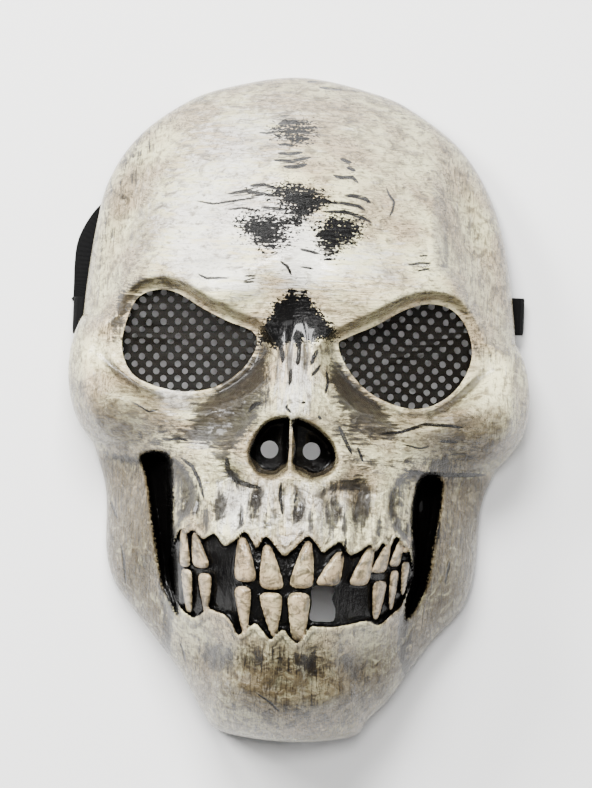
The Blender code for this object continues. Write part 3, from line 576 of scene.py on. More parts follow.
def side_values(angle):
    """The columns of SIDES in a direction, eased from row to row."""
    table = np.array(SIDES)
    degrees = np.degrees(angle) % 360.0
    starts = np.append(table[:, 0], 360.0)
    row = np.clip(np.searchsorted(starts, degrees, "right") - 1, 0, len(table) - 1)
    share = smooth((degrees - starts[row]) / (starts[row + 1] - starts[row]))
    here, there = table[row, 1:], table[(row + 1) % len(table), 1:]
    return np.moveaxis(here + (there - here) * share[..., None], -1, 0)


def middle_height(y):
    """The height of the face along its middle, eased through MIDDLE's rows."""
    return eased(MIDDLE, np.linspace(MIDDLE[0][0], MIDDLE[-1][0], 400), 15, y)


def eye_plane(x, y, side):
    """The height of the smooth surface that an eye opening lies in."""
    cx, cy, height, to_nose, up, hollow = EYE_PLANES[side]
    inward = (x - cx) if side == "left" else (cx - x)
    return height + to_nose * inward + up * (y - cy) - hollow * inward**2


def oval(x, y, row, sharpness=1.25):
    """A soft oval spot of a table's row: 1 in its middle and 0 away from it."""
    cx, cy, half_length, half_width, tilt, _ = row
    c, s = math.cos(math.radians(tilt)), math.sin(math.radians(tilt))
    u = ((x - cx) * c + (y - cy) * s) / half_length
    v = ((y - cy) * c - (x - cx) * s) / half_width
    return np.exp(-((u * u + v * v) ** sharpness))


def spots(x, y, table, sharpness=1.25):
    """All of a table's spots, each as strong as its last column."""
    return sum(row[5] * oval(x, y, row, sharpness) for row in table)


def swellings(x, y):
    """The height of SWELLINGS, whose tilts are measured clockwise."""
    return spots(x, y, [(*row[:4], -row[4], row[5]) for row in SWELLINGS])


OUTLINES = {
    "eye_left": closed_curve(EYE_LEFT),
    "eye_right": closed_curve(EYE_RIGHT),
    "nose": closed_curve(NOSE),
    "groove_left": closed_curve(GROOVE_LEFT),
    "groove_right": closed_curve(GROOVE_RIGHT),
    "missing_tooth": closed_curve(MISSING_TOOTH, 3),
    "cheek_left": closed_curve(CHEEK_LEFT, 3),
    "cheek_right": closed_curve(CHEEK_RIGHT, 3),
}


def cheek_inside(x, y):
    """How far a point lies inside a sunken cheek's outline; below 0 outside."""
    left = signed_distance(x, y, OUTLINES["cheek_left"])
    return -np.minimum(left, signed_distance(x, y, OUTLINES["cheek_right"]))


def cheek_depth(inside):
    """How deep a cheek sinks: a step at the outline, which rises again away from it."""
    step = smooth((inside + 0.8) / CHEEK_STEP)
    return CHEEK_DROP * step * (1.0 - smooth((inside - CHEEK_LEVEL) / CHEEK_RETURN))


def face_sheet(x, y, ratio, angle):
    """The face before it falls to its side, how far a point is from the edge, and the rim's lift."""
    turn, roundness, _, lift = side_values(angle)
    z = turn + (middle_height(y) - turn) * (1.0 - np.clip(ratio, 0.0, 1.0) ** roundness)
    fade = smooth((1.0 - ratio) / 0.14)
    z = z + (swellings(x, y) - cheek_depth(cheek_inside(x, y))) * fade
    return z, fade, np.maximum(lift, 0.0)


def outer_height(x, y, ratio, drop, angle):
    """The height of the plain outer surface, from the face sheet, the fall to the side and the openings."""
    z, _, lift = face_sheet(x, y, ratio, angle)
    z = lift + (z - lift) * drop
    for side in ("left", "right"):
        distance = signed_distance(x, y, OUTLINES["eye_" + side])
        near = (1.0 - smooth((distance - 1.5) / SOCKET_WIDTH)) * smooth((drop - 0.78) / 0.1)
        z = z + (eye_plane(x, y, side) - z) * near
        distance = signed_distance(x, y, OUTLINES["groove_" + side])
        z = z - GROOVE_DEPTH * smooth((0.8 - distance) / 4.0)
    return z - NOSE_DEPTH * smooth((0.4 - signed_distance(x, y, OUTLINES["nose"])) / 3.6)


def full_height(x, y):
    """The height of the outer surface at a point seen from the front, side walls and all."""
    dx, dy = x - FACE_CENTRE[0], y - FACE_CENTRE[1]
    angle = np.arctan2(dy, dx)
    ratio = np.hypot(dx, dy) / rim_radius(angle)
    _, _, sharp, lift = side_values(angle)
    drop = np.clip(1.0 - np.clip(ratio, 0.0, 1.0) ** sharp, 0.0, 1.0) ** (1.0 / sharp)
    z = outer_height(x, y, ratio, drop, angle)
    return np.where(ratio >= 1.0, np.maximum(lift, 0.0), z)


def back_height(x, y):
    """The height of the back of the wall: a ball of the wall's thickness rolls under the front."""
    best = full_height(x, y) - WALL
    for share, count in ((0.6, 6), (0.97, 10)):
        for turn in 2.0 * math.pi * np.arange(count) / count:
            reach = WALL * share
            z = full_height(x + reach * math.cos(turn), y + reach * math.sin(turn))
            best = np.minimum(best, z - WALL * math.sqrt(1.0 - share * share))
    return best


def spaced(zones):
    """Positions from the first zone's start to the last one's end, each zone at its own step."""
    out = []
    for start, end, step in zones:
        count = max(1, round((end - start) / step))
        out.extend(start + (end - start) * np.arange(count) / count)
    return np.array(out + [zones[-1][1]])


def circle(x, y, across, sides, turn=0.0):
    """A ring of points round a centre, with the given distance across its corners."""
    turns = 2.0 * math.pi * (np.arange(sides) + turn) / sides
    return np.stack([x + np.cos(turns) * across / 2.0, y + np.sin(turns) * across / 2.0], 1)


def rectangle(x, y, half_x, half_y):
    corners = ((-1.0, -1.0), (1.0, -1.0), (1.0, 1.0), (-1.0, 1.0))
    return [(x + half_x * across, y + half_y * up) for across, up in corners]


def slot_centre(side):
    """The middle of a strap slot, on the side wall."""
    height = SLOT_HEIGHTS[side]
    angle = math.atan2(height - FACE_CENTRE[1], side * 84.0)
    reach = float(rim_radius(np.array([angle]))[0])
    lift = float(np.maximum(side_values(np.array([angle]))[3], 0.0)[0])
    return (
        FACE_CENTRE[0] + reach * math.cos(angle),
        FACE_CENTRE[1] + reach * math.sin(angle),
        lift + SLOT_BAR + SLOT_WIDTH / 2.0,
    )


# The strap's way round each slot bar: distance out from the wall, height over the rim
LEFT_LOOP = (
    (-4.1, 3.4),
    (-3.9, 0.6),
    (-2.6, -1.9),
    (0.4, -2.3),
    (2.8, -0.9),
    (3.4, 1.8),
    (2.6, 4.2),
    (0.8, 5.3),
    (-1.2, 5.35),
    (-6, 5.2),
    (-10.6, 4),
    (-13.4, 1),
    (-13.6, -1.8),
    (-12.4, -3.5),
    (-10.8, -4),
)
RIGHT_LOOP = (
    (-8, 4.6),
    (-4, 5.3),
    (-1.1, 5.35),
    (1.3, 4.9),
    (3, 3.3),
    (3.5, 1),
    (2.7, -1.2),
    (0.6, -2.1),
    (-2.6, -2),
    (-6.6, -0.9),
    (-10.4, 0.4),
)

# The left fold: outer and inner edge of the band beside the rim, and where the two layers lie
FOLD_OUTER_X = -87.3
FOLD_LAYERS = (2.6, 0.95)
# The hidden stretch behind the forehead: x, y, height, turn from flat (1) to standing (0)
HIDDEN_STRETCH = (
    (-80, 46, 0.95, 1),
    (-80, 54, 0.95, 1),
    (-79, 62, 0.95, 1),
    (-74, 71, 1.2, 0.98),
    (-66, 78.4, 4, 0.7),
    (-58, 87, 7.4, 0.25),
    (-44, 94, 7.6, 0),
    (-24, 99, 7.6, 0),
    (0, 101, 7.6, 0),
    (24, 97, 7.6, 0),
    (44, 86, 7.6, 0),
    (56, 70, 8, 0.05),
    (63, 55, 9, 0.3),
    (69, 44, 10.3, 0.75),
    (74, 40.2, 10.9, 0.98),
)


def strap_sections(per_span):
    """The band as middles, width vectors and thickness normals, from its left end to its right."""
    across = np.array([0.0, STRAP_WIDTH, 0.0])
    middles, widths, normals = [], [], []

    def add(middle, width, normal=None):
        middles.append(np.array(middle, float))
        widths.append(np.array(width, float))
        normals.append(normal)

    x, y, z = slot_centre(-1.0)
    rim_height = z - SLOT_BAR - SLOT_WIDTH / 2.0
    for out, up in through(LEFT_LOOP, per_span):
        add((x - out, y, rim_height + up), across)
    half = STRAP_WIDTH / 2.0
    fold = np.array([FOLD_OUTER_X + half, y, 0.0])
    slanted = np.array([-STRAP_WIDTH, STRAP_WIDTH, 0.0])
    upper, lower = FOLD_LAYERS
    outward = np.array([-1.0, -1.0, 0.0]) / math.sqrt(2.0)
    add(fold + (0.0, 0.0, upper), slanted, (0.0, 0.0, -1.0))
    add(fold + (0.0, 0.0, (upper + lower) / 2.0) + outward * (upper - lower) / 2.0, slanted, -outward)
    add(fold + (0.0, 0.0, lower), slanted, (0.0, 0.0, 1.0))
    run = through(HIDDEN_STRETCH, per_span)
    heading = np.gradient(run[:, :2], axis=0)
    heading /= np.linalg.norm(heading, axis=1)[:, None]
    for (px, py, pz, flat), (hx, hy) in zip(run, heading):
        turn = flat * math.pi / 2.0
        add(
            (px, py, pz),
            STRAP_WIDTH * np.array([-hy * math.sin(turn), hx * math.sin(turn), math.cos(turn)]),
        )
    x, y, z = slot_centre(1.0)
    rim_height = z - SLOT_BAR - SLOT_WIDTH / 2.0
    for out, up in through(RIGHT_LOOP, per_span):
        add((x + out, y, rim_height + up), across)
    middles, widths = np.array(middles), np.array(widths)
    along = np.gradient(middles, axis=0)
    found = np.cross(along, widths)
    found /= np.linalg.norm(found, axis=1)[:, None]
    for i, normal in enumerate(normals):
        if normal is not None:
            found[i] = normal
    return middles, widths, found


def noise(x, y, seed):
    """Smooth random heights from -1 to 1, one to a unit of x and y."""
    ix, iy = np.floor(x).astype(np.int64), np.floor(y).astype(np.int64)
    fx, fy = x - ix, y - iy
    fx = fx**3 * (fx * (fx * 6.0 - 15.0) + 10.0)
    fy = fy**3 * (fy * (fy * 6.0 - 15.0) + 10.0)

    def corner(i, j):
        n = (ix + i) * 374761393 + (iy + j) * 668265263 + seed * 1274126177
        n = ((n ^ (n >> 13)) * 1103515245) & 0x7FFFFFFF
        n = ((n ^ (n >> 15)) * 69069) & 0x7FFFFFFF
        return ((n >> 7) & 0xFFFF) / 32767.5 - 1.0

    low = corner(0, 0) + (corner(1, 0) - corner(0, 0)) * fx
    high = corner(0, 1) + (corner(1, 1) - corner(0, 1)) * fx
    return low + (high - low) * fy


def cloud(x, y, seed, octaves=3):
    """Random heights with finer ones on them."""
    total = np.zeros(np.shape(x))
    for k in range(octaves):
        total = total + noise(x * 2.0**k, y * 2.0**k, seed + k) * 0.5**k
    return total / (2.0 - 0.5 ** (octaves - 1))


def line_height(table, x):
    """The height of a scalloped edge, with its corners eased."""
    return eased(table, np.arange(-60.0, 60.01, 0.25), 7, x)


def tooth_shape(x, y, row):
    """How deep a point lies inside a tooth's outline: 0 at the edge, 1 in the middle, below 0 outside."""
    cx, width, root, edge, lean, taper = row
    length = abs(root - edge)
    up = 1.0 if root > edge else -1.0
    along = (y - edge) * up / length
    u = x - cx - math.tan(math.radians(lean)) * along * length
    half = 0.5 * width * (1.0 - taper * np.clip(along, 0.0, 1.0) ** 1.4)
    return 1.0 - np.abs(u / half) ** 2.6 - np.abs(2.0 * along - 1.0) ** 8.0, 0.5 * width


def mouth(x, y):
    """The height of teeth and gums over the face, and how far a point is into the black gaps."""
    waver = 0.35 * cloud(x / 2.5, y / 2.5, 41)
    over = y - line_height(UPPER_GUM, x) + waver
    under = line_height(LOWER_GUM, x) - y + waver
    bone = np.maximum(over, under)
    fade = smooth((56.0 - np.abs(x)) / 8.0)
    far = smooth((22.0 - bone) / 18.0)
    rolled = np.exp(-(((bone - 1.6) / 1.4) ** 2))
    out = (GUM_STANDS * smooth((bone + 0.9) / 1.8) * far + GUM_ROLL * rolled) * fade
    gap = -bone
    best = np.full(x.shape, -9.0)
    for row in FINE_UPPER + FINE_LOWER:
        depth, half = tooth_shape(x, y, row)
        best = np.maximum(best, depth * half * 0.5)
        dome = np.clip(depth, 0.0, 1.0) ** 0.42
        ridged = 1.0 + 0.05 * cloud(x / 1.1, y / 5.0, 47)
        out = np.maximum(out, TOOTH_STANDS * dome * ridged * min(1.0, 0.62 + 0.04 * half * 2.0))
    gap = np.minimum(gap + 0.5, -best + 0.2)
    return out, gap


def temple(x, y):
    """The step down from the brow into each temple: soft on the left, sharp on the right."""
    right = np.array(TEMPLE_RIGHT[::-1])
    left = np.array(TEMPLE_LEFT[::-1])
    past_right = x - np.interp(y, right[:, 1], right[:, 0])
    past_left = np.interp(y, left[:, 1], left[:, 0]) - x
    reach = smooth((y - 32.0) / 12.0)
    down = TEMPLE_STEPS[1] * smooth((past_right + 0.4) / 5.0) * smooth((104.0 - y) / 22.0)
    edge = 0.9 * np.exp(-(((past_right + 1.6) / 1.8) ** 2)) * smooth((98.0 - y) / 12.0)
    soft = TEMPLE_STEPS[0] * smooth((past_left + 1.5) / 10.0) * smooth((118.0 - y) / 22.0)
    return (edge - down - soft) * reach, np.maximum(past_right, past_left)


def upright(x, y):
    """1 where the bone's grain runs up and down the face, 0 where it runs across."""
    _, past = temple(x, y)
    sides = smooth((past + 2.0) / 10.0) * smooth((y - 30.0) / 10.0)
    jaw = smooth((np.abs(x) - 44.0) / 10.0) * smooth((-12.0 - y) / 10.0)
    cheeks = smooth((np.abs(x - 1.0) - 64.0) / 8.0) * smooth((40.0 - y) / 10.0)
    nose = smooth((16.0 - np.abs(x - 1.0)) / 6.0) * smooth((36.0 - y) / 6.0) * smooth((y + 4.0) / 4.0)
    gums = smooth((-24.0 - y) / 6.0) * 0.85
    return np.clip(np.maximum.reduce([sides, jaw, cheeks, nose, gums]), 0.0, 1.0)


def relief(x, y):
    """The bone's texture: wrinkles across the brow and forehead, furrows down the temples and jaw."""
    turn = upright(x, y)
    bend = 0.10 * x * x / 60.0
    across = cloud((x + 5.0) / 13.0, (y + bend) / 2.7, 11)
    down = cloud((x + 0.12 * y) / 2.6, y / 14.0, 21)
    lumps = cloud(x / 6.5, y / 5.0, 31)
    pebbles = cloud(x / 2.6, y / 2.2, 37)
    brow = smooth((66.0 - y) / 14.0) * smooth((y - 34.0) / 8.0)
    low = smooth((12.0 - y) / 8.0) * smooth((y + 60.0) / 20.0)
    strength = 0.26 + 0.16 * brow + 0.14 * low
    grain = across * (1.0 - turn) + down * turn * 1.15
    return strength * grain + (0.12 + 0.42 * low) * lumps + (0.06 + 0.26 * low) * pebbles


def nose_relief(x, y, distance):
    """The rounded rim of the nose opening, fuller below and beside it."""
    rim = np.exp(-(((distance - 2.4) / 2.6) ** 2))
    return NOSE_RIM * rim * smooth((10.0 - y) / 14.0)


def eye_relief(x, y, side, distance):
    """The thin rolled lip round the lower half of an eye opening, with a shallow gutter outside it."""
    centre_y = EYE_PLANES[side][1]
    lower = smooth((centre_y - 2.0 - y) / 10.0)
    lip = EYE_LIP * np.exp(-(((distance - 0.9) / 0.9) ** 2))
    gutter = EYE_GUTTER * np.exp(-(((distance - 3.2) / 1.4) ** 2))
    return (lip - gutter) * lower


def fine_height(x, y, ratio, drop, angle):
    """The height of the outer surface with its bone texture, teeth and rims."""
    z, fade, lift = face_sheet(x, y, ratio, angle)
    z = z + temple(x, y)[0] * smooth((1.0 - ratio) / 0.1)
    carved = spots(x, y, RIDGES, 1.0) - spots(x, y, PITS, 1.2)
    carved = np.where(carved < 0.0, PIT_LIMIT * np.tanh(carved / PIT_LIMIT), carved)
    z = z + carved * fade
    z = lift + (z - lift) * drop
    lips = np.zeros(x.shape)
    for side in ("left", "right"):
        distance = signed_distance(x, y, OUTLINES["eye_" + side])
        width = SOCKET_WIDTH * (1.0 - 0.52 * smooth((y - 22.0) / 8.0))
        near = (1.0 - smooth((distance - 1.2) / width)) * smooth((drop - 0.78) / 0.1)
        z = z + (eye_plane(x, y, side) - z) * near
        lips = lips + eye_relief(x, y, side, distance) * fade
        distance = signed_distance(x, y, OUTLINES["groove_" + side])
        z = z - GROOVE_DEPTH * smooth((0.8 - distance) / 4.0)
    z = z + mouth(x, y)[0] * fade + lips
    distance = signed_distance(x, y, OUTLINES["nose"])
    pocket = smooth((0.4 - distance) / 3.6)
    middle, width = SEPTUM
    rib = 1.0 - smooth((np.abs(x - middle) - width / 2.0) / 1.2)
    z = z + nose_relief(x, y, distance) - NOSE_DEPTH * pocket * (1.0 - 0.82 * rib)
    smooth_walls = smooth((drop - 0.1) / 0.5) * (1.0 - pocket)
    return z + relief(x, y) * (0.35 + 0.65 * fade) * smooth_walls


def crack_fields(x, y):
    """The signed distance to the nearest crack, and that crack's width there."""
    near = np.full(x.shape, 9.0)
    side = np.ones(x.shape)
    width = np.zeros(x.shape)
    for wide, *points in CRACKS:
        count = len(points) - 1
        for k, ((ax, ay), (bx, by)) in enumerate(zip(points, points[1:])):
            dx, dy = bx - ax, by - ay
            t = np.clip(((x - ax) * dx + (y - ay) * dy) / (dx * dx + dy * dy), 0.0, 1.0)
            ox, oy = x - ax - t * dx, y - ay - t * dy
            away = np.hypot(ox, oy)
            closer = away < near
            near = np.where(closer, away, near)
            side = np.where(closer, np.where(oy * dx - ox * dy > 0.0, 1.0, -1.0), side)
            along = 2.0 * (k + t) / count - 1.0
            width = np.where(closer, wide * (1.0 - along**4), width)
    return side * near, width * smooth((1.25 - near) / 0.25)


def ink_fields(x, y):
    """How far a point is outside the black paint, and how uneven the paint's edge is there."""
    field = np.full(x.shape, 30.0)
    rough = np.full(x.shape, 0.3)

    def lay(distance, unevenness):
        nonlocal field, rough
        closer = distance < field
        rough = np.where(closer, unevenness, rough)
        field = np.where(closer, distance, field)

    for unevenness, *outline in INK_PATCHES:
        lay(signed_distance(x, y, closed_curve(outline, 3)), unevenness)
    for side in ("left", "right"):
        distance = signed_distance(x, y, OUTLINES["groove_" + side])
        lay(distance + 0.2, 0.8)
    distance = signed_distance(x, y, OUTLINES["nose"]) + 1.0
    middle, width = SEPTUM
    half = (0.5 + 0.5 * smooth((-6.0 - y) / 5.0)) * width / 2.0
    rib = np.abs(x - middle - 0.4 * np.sin(y / 3.0)) - half
    ledge = 1.0 - smooth((y + 21.0) / 3.0)
    lay(np.maximum(distance + 1.8 * ledge, -rib), 0.15)
    _, gap = mouth(x, y)
    lay(-gap, 0.25)
    return np.clip(field, -6.0, 6.0), rough


def fine_surface(disc_x, disc_y, back):
    """Points of the shell over a disc, and where they lie before the cheekbones stand out.

    The face is inside radius 1 of the disc, and the side from 1 to 2.
    """
    radius = np.hypot(disc_x, disc_y)
    angle = np.arctan2(disc_y, disc_x)
    _, _, sharp, lift = side_values(angle)
    on_face = radius <= 1.0
    inner, outer = np.minimum(radius, 1.0), np.clip(2.0 - radius, 0.0, 1.0)
    root = (1.0 + np.where(on_face, inner, outer) ** sharp) ** (1.0 / sharp)
    ratio = np.where(on_face, inner / root, 1.0 / root)
    reach = (rim_radius(angle) - (BACK_INSET if back else 0.0)) * ratio
    x = FACE_CENTRE[0] + reach * np.cos(angle)
    y = FACE_CENTRE[1] + reach * np.sin(angle)
    if back:
        lift = np.maximum(lift, 0.0)
        drop = np.where(on_face, 1.0, outer / root * 2.0 ** (1.0 / sharp))
        z = lift + (back_height(x, y) - lift) * drop
    else:
        drop = np.where(on_face, 1.0 / root, outer / root)
        z = fine_height(x, y, ratio, drop, angle)
    wide = x
    for side, height, half, overhang in CHEEKBONES:
        swell = np.sqrt(np.clip(1.0 - ((y - height) / half) ** 2, 0.0, 1.0))
        where = smooth((radius - 0.78) / 0.24) * smooth((1.75 - radius) / 0.6)
        wide = wide + side * overhang * swell * where * (side * wide > 0.0)
    return np.stack([wide, y, z, x, y], -1)


def fine_skin(columns, rows, side_steps, back):
    """One side of the wall as points and quads, with the numbers of the points on its rim."""
    reach_x = rim_radius(np.array([math.pi, 0.0]))
    reach_y = rim_radius(np.array([-math.pi / 2.0, math.pi / 2.0]))
    a = np.where(columns < 0.0, columns / reach_x[0], columns / reach_x[1])
    offset = rows - FACE_CENTRE[1]
    b = np.where(offset < 0.0, offset / reach_y[0], offset / reach_y[1])
    a[0], a[-1], b[0], b[-1] = -1.0, 1.0, -1.0, 1.0
    aa, bb = np.meshgrid(a, b)
    disc_x = aa * np.sqrt(1.0 - bb**2 / 2.0)
    disc_y = bb * np.sqrt(1.0 - aa**2 / 2.0)
    n, m = aa.shape
    number = np.arange(n * m).reshape(n, m)
    quads = [number[:-1, :-1], number[:-1, 1:], number[1:, 1:], number[1:, :-1]]
    faces = [np.stack(quads, -1).reshape(-1, 4)]
    edges = [number[0, :-1], number[:-1, -1], number[-1, :0:-1], number[:0:-1, 0]]
    ring = np.concatenate(edges)
    points = [fine_surface(disc_x, disc_y, back).reshape(n * m, -1)]
    edge_x, edge_y = disc_x.reshape(-1)[ring], disc_y.reshape(-1)[ring]
    start = n * m
    for step in side_steps:
        points.append(fine_surface(edge_x * step, edge_y * step, back))
        here = start + np.arange(len(ring))
        faces.append(np.stack([ring, here, np.roll(here, -1), np.roll(ring, -1)], -1))
        ring, start = here, start + len(ring)
    return np.concatenate(points), np.concatenate(faces), ring, (n, m)


def hollow_depth(z, shape, reach):
    """How far the face lies under the average of its neighbourhood."""
    grid = z[: shape[0] * shape[1]].reshape(shape)
    kernel = np.hanning(2 * reach + 3)[1:-1]
    kernel /= kernel.sum()
    mean = np.pad(grid, reach, mode="edge")
    mean = np.apply_along_axis(np.convolve, 0, mean, kernel, "valid")
    mean = np.apply_along_axis(np.convolve, 1, mean, kernel, "valid")
    depth = mean - grid
    depth[: reach + 1] = depth[-reach - 1 :] = 0.0
    depth[:, : reach + 1] = depth[:, -reach - 1 :] = 0.0
    out = np.zeros(len(z))
    out[: grid.size] = depth.reshape(-1)
    return out


def whole_step_zones(zones, every):
    """Positions like spaced(), with their number of steps a multiple of every."""
    found = spaced(zones)
    extra = (-(len(found) - 1)) % every
    if extra:
        start, end, step = zones[0]
        steps = max(1, round((end - start) / step)) + extra
        found = spaced(((start, end, (end - start) / steps),) + tuple(zones[1:]))
    return found


def faced_outward(piece):
    """Turns every face of a closed piece to its outside."""
    work = bmesh.new()
    work.from_mesh(piece.data)
    bmesh.ops.recalc_face_normals(work, faces=work.faces)
    work.to_mesh(piece.data)
    work.free()


def drawn(name, points, faces, shade=True):
    """An object in metres from points in the mask's millimetres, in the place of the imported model."""
    mesh = bpy.data.meshes.new(name)
    placed = (np.array(points, float)[:, :3] + PLACE) * MM
    mesh.from_pydata(placed.tolist(), [], [list(map(int, f)) for f in faces])
    mesh.update()
    if shade:
        mesh.shade_smooth()
    piece = bpy.data.objects.new(name, mesh)
    bpy.context.scene.collection.objects.link(piece)
    return piece


def cutter(name, loop, low, high):
    """A closed prism with the outline of a loop, from one height to another."""
    loop = np.array(loop)
    after = np.roll(loop, -1, 0)
    if (loop[:, 0] * after[:, 1] - after[:, 0] * loop[:, 1]).sum() < 0.0:
        loop = loop[::-1]
    n = len(loop)
    points = [(x, y, z) for z in (low, high) for x, y in loop]
    faces = [list(range(n))[::-1], list(range(n, 2 * n))]
    faces += [[i, (i + 1) % n, (i + 1) % n + n, i + n] for i in range(n)]
    return drawn(name, points, faces, shade=False)


def applied(piece, cutters):
    """The piece with every cutter taken out of it, and the cutters gone."""
    for tool in cutters:
        modifier = piece.modifiers.new(tool.name, "BOOLEAN")
        modifier.operation = "DIFFERENCE"
        modifier.object = tool
        modifier.solver = "MANIFOLD"
    bpy.context.view_layer.update()
    graph = bpy.context.evaluated_depsgraph_get()
    mesh = bpy.data.meshes.new_from_object(piece.evaluated_get(graph))
    piece.modifiers.clear()
    piece.data = mesh
    for tool in cutters:
        bpy.data.objects.remove(tool)


def shell_cutters():
    tools = [cutter("cut_floor", rectangle(0.0, 0.0, 120.0, 160.0), -6.0, RIM_TRIM)]
    for name in ("eye_left", "eye_right"):
        tools.append(cutter("cut_" + name, OUTLINES[name], *CUTS["eye"]))
    tools.append(cutter("cut_tooth", OUTLINES["missing_tooth"], *CUTS["tooth"]))
    for side, x in zip(("left", "right"), BREATHING_X):
        loop = circle(x, BREATHING_Y, BREATHING_HOLE, 40)
        tools.append(cutter("cut_breath_" + side, loop, *CUTS["breath"]))
    for side, way in (("left", -1.0), ("right", 1.0)):
        x, y, z = slot_centre(way)
        loop = rectangle(x, y, SLOT_CUT, SLOT_LENGTH / 2.0)
        tools.append(cutter("cut_slot_" + side, loop, z - SLOT_WIDTH / 2.0, z + SLOT_WIDTH / 2.0))
    return tools


def make_fine_shell():
    """The moulding with its bone texture, and the fields that its paint is laid by."""
    columns = whole_step_zones(FINE_COLUMNS, BACK_EVERY)
    rows = whole_step_zones(FINE_ROWS, BACK_EVERY)
    front, front_faces, front_rim, shape = fine_skin(columns, rows, FINE_SIDES, False)
    back, back_faces, back_rim, _ = fine_skin(
        columns[::BACK_EVERY], rows[::BACK_EVERY], FINE_SIDES[1::2], True
    )
    count = len(front)
    faces = front_faces.tolist() + (back_faces[:, ::-1] + count).tolist()
    ring = len(back_rim)
    for k in range(ring):
        outer = [int(front_rim[(BACK_EVERY * k + i) % len(front_rim)]) for i in range(BACK_EVERY + 1)]
        near, far = int(back_rim[k]) + count, int(back_rim[(k + 1) % ring]) + count
        faces.append([outer[0], near, outer[1]])
        faces.append([outer[1], near, far, outer[2]])
        faces.append([outer[2], far, outer[3]])
    shell = drawn("bone_shell", np.concatenate([front, back]), faces)
    x, y = front[:, 3], front[:, 4]
    crack, crack_width = crack_fields(x, y)
    ink, rough = ink_fields(x, y)
    fields = {
        "crack": crack,
        "crack_width": crack_width,
        "ink": ink,
        "ink_rough": rough,
        # Dark wash and painted shade in the hollows and under the cheekbones
        "wash_and_shade": np.clip(spots(x, y, WASHES_AND_SHADE) + cheek_wash_and_shadow(x, y), 0.0, 1.3),
        # Painted highlights on the high bone
        "light": np.clip(spots(x, y, PAINTED_HIGHLIGHTS), 0.0, 1.2),
        # Aged paint and painted shade on the sides, jaw and chin and inside the sunken cheeks
        "aged_and_shaded": np.clip(spots(x, y, AGED_AND_SHADED) + 0.5 * smooth(cheek_inside(x, y) / 6.0), 0.0, 1.3),
        "grain_turn": upright(x, y),
        # Painted shade and dark paint in the hollows, kept off the brow's underside
        "hollow": np.clip(hollow_depth(front[:, 2], shape, 2), -1.5, 1.5) * clear_of_brow(x, y),
        "wide_hollow_shade": np.clip(hollow_depth(front[:, 2], shape, 7), -3.0, 3.0) * clear_of_brow(x, y),
        "tooth": tooth_field(x, y),
        "rugged": rugged(x, y),
        "inner": np.zeros(count),
    }
    before = np.concatenate([front, back])[:, :3] + PLACE
    tree = KDTree(len(before))
    for i, point in enumerate(before):
        tree.insert(Vector(point), i)
    tree.balance()
    applied(shell, shell_cutters())
    mesh = shell.data
    spots_now = np.empty(len(mesh.vertices) * 3)
    mesh.vertices.foreach_get("co", spots_now)
    spots_now = spots_now.reshape(-1, 3) / MM
    nearest = np.array([tree.find(Vector(p))[1] for p in spots_now])
    for name, values in fields.items():
        fill = 1.0 if name == "inner" else (6.0 if name == "ink" else 0.0)
        whole = np.concatenate([values, np.full(len(back), fill)])
        layer = mesh.attributes.new(name, "FLOAT", "POINT")
        layer.data.foreach_set("value", whole[nearest].astype(np.float32))
    mesh.shade_smooth()
    mesh.set_sharp_from_angle(angle=math.radians(SHELL_CREASE))
    return shell


def clear_of_brow(x, y):
    """0 along the upper edge of each eye opening, where the painted shade of the hollows is left off and the
    brow's underside stays light.
    """
    away = np.minimum(*(signed_distance(x, y, OUTLINES[name]) for name in ("eye_left", "eye_right")))
    return np.maximum(smooth((away - 6.0) / 4.0), 1.0 - smooth((y - 22.0) / 6.0))


def cheek_wash_and_shadow(x, y):
    """The painted shadow at the foot of the step into each sunken cheek, washed dark, widest beside the
    teeth.
    """
    depth = cheek_inside(x, y)
    beside = smooth((54.0 - np.abs(x - 1.0)) / 8.0)
    reach = 3.0 + 7.0 * beside
    return (0.5 + 0.4 * beside) * smooth((depth + 0.3) / 1.6) * (1.0 - smooth((depth - 1.5) / reach))


def rugged(x, y):
    """Where the bone is most pitted: above and beside the teeth, beside the nose and on the chin."""
    jaw = smooth((48.0 - np.abs(x)) / 10.0) * smooth((-12.0 - y) / 10.0) * smooth((y + 62.0) / 10.0)
    chin = 0.75 * smooth((40.0 - np.abs(x)) / 14.0) * smooth((-80.0 - y) / 8.0)
    nose = 0.7 * smooth((30.0 - np.abs(x - 1.0)) / 10.0) * smooth((30.0 - y) / 8.0) * smooth((y + 20.0) / 8.0)
    cheeks = 0.55 * smooth((14.0 - y) / 12.0) * smooth((y + 34.0) / 12.0)
    return np.maximum.reduce([jaw, chin, nose, cheeks, np.full(x.shape, 0.12)])


def tooth_field(x, y):
    best = np.full(x.shape, -1.0)
    for row in FINE_UPPER + FINE_LOWER:
        best = np.maximum(best, tooth_shape(x, y, row)[0])
    return np.clip(best, -1.0, 1.0)


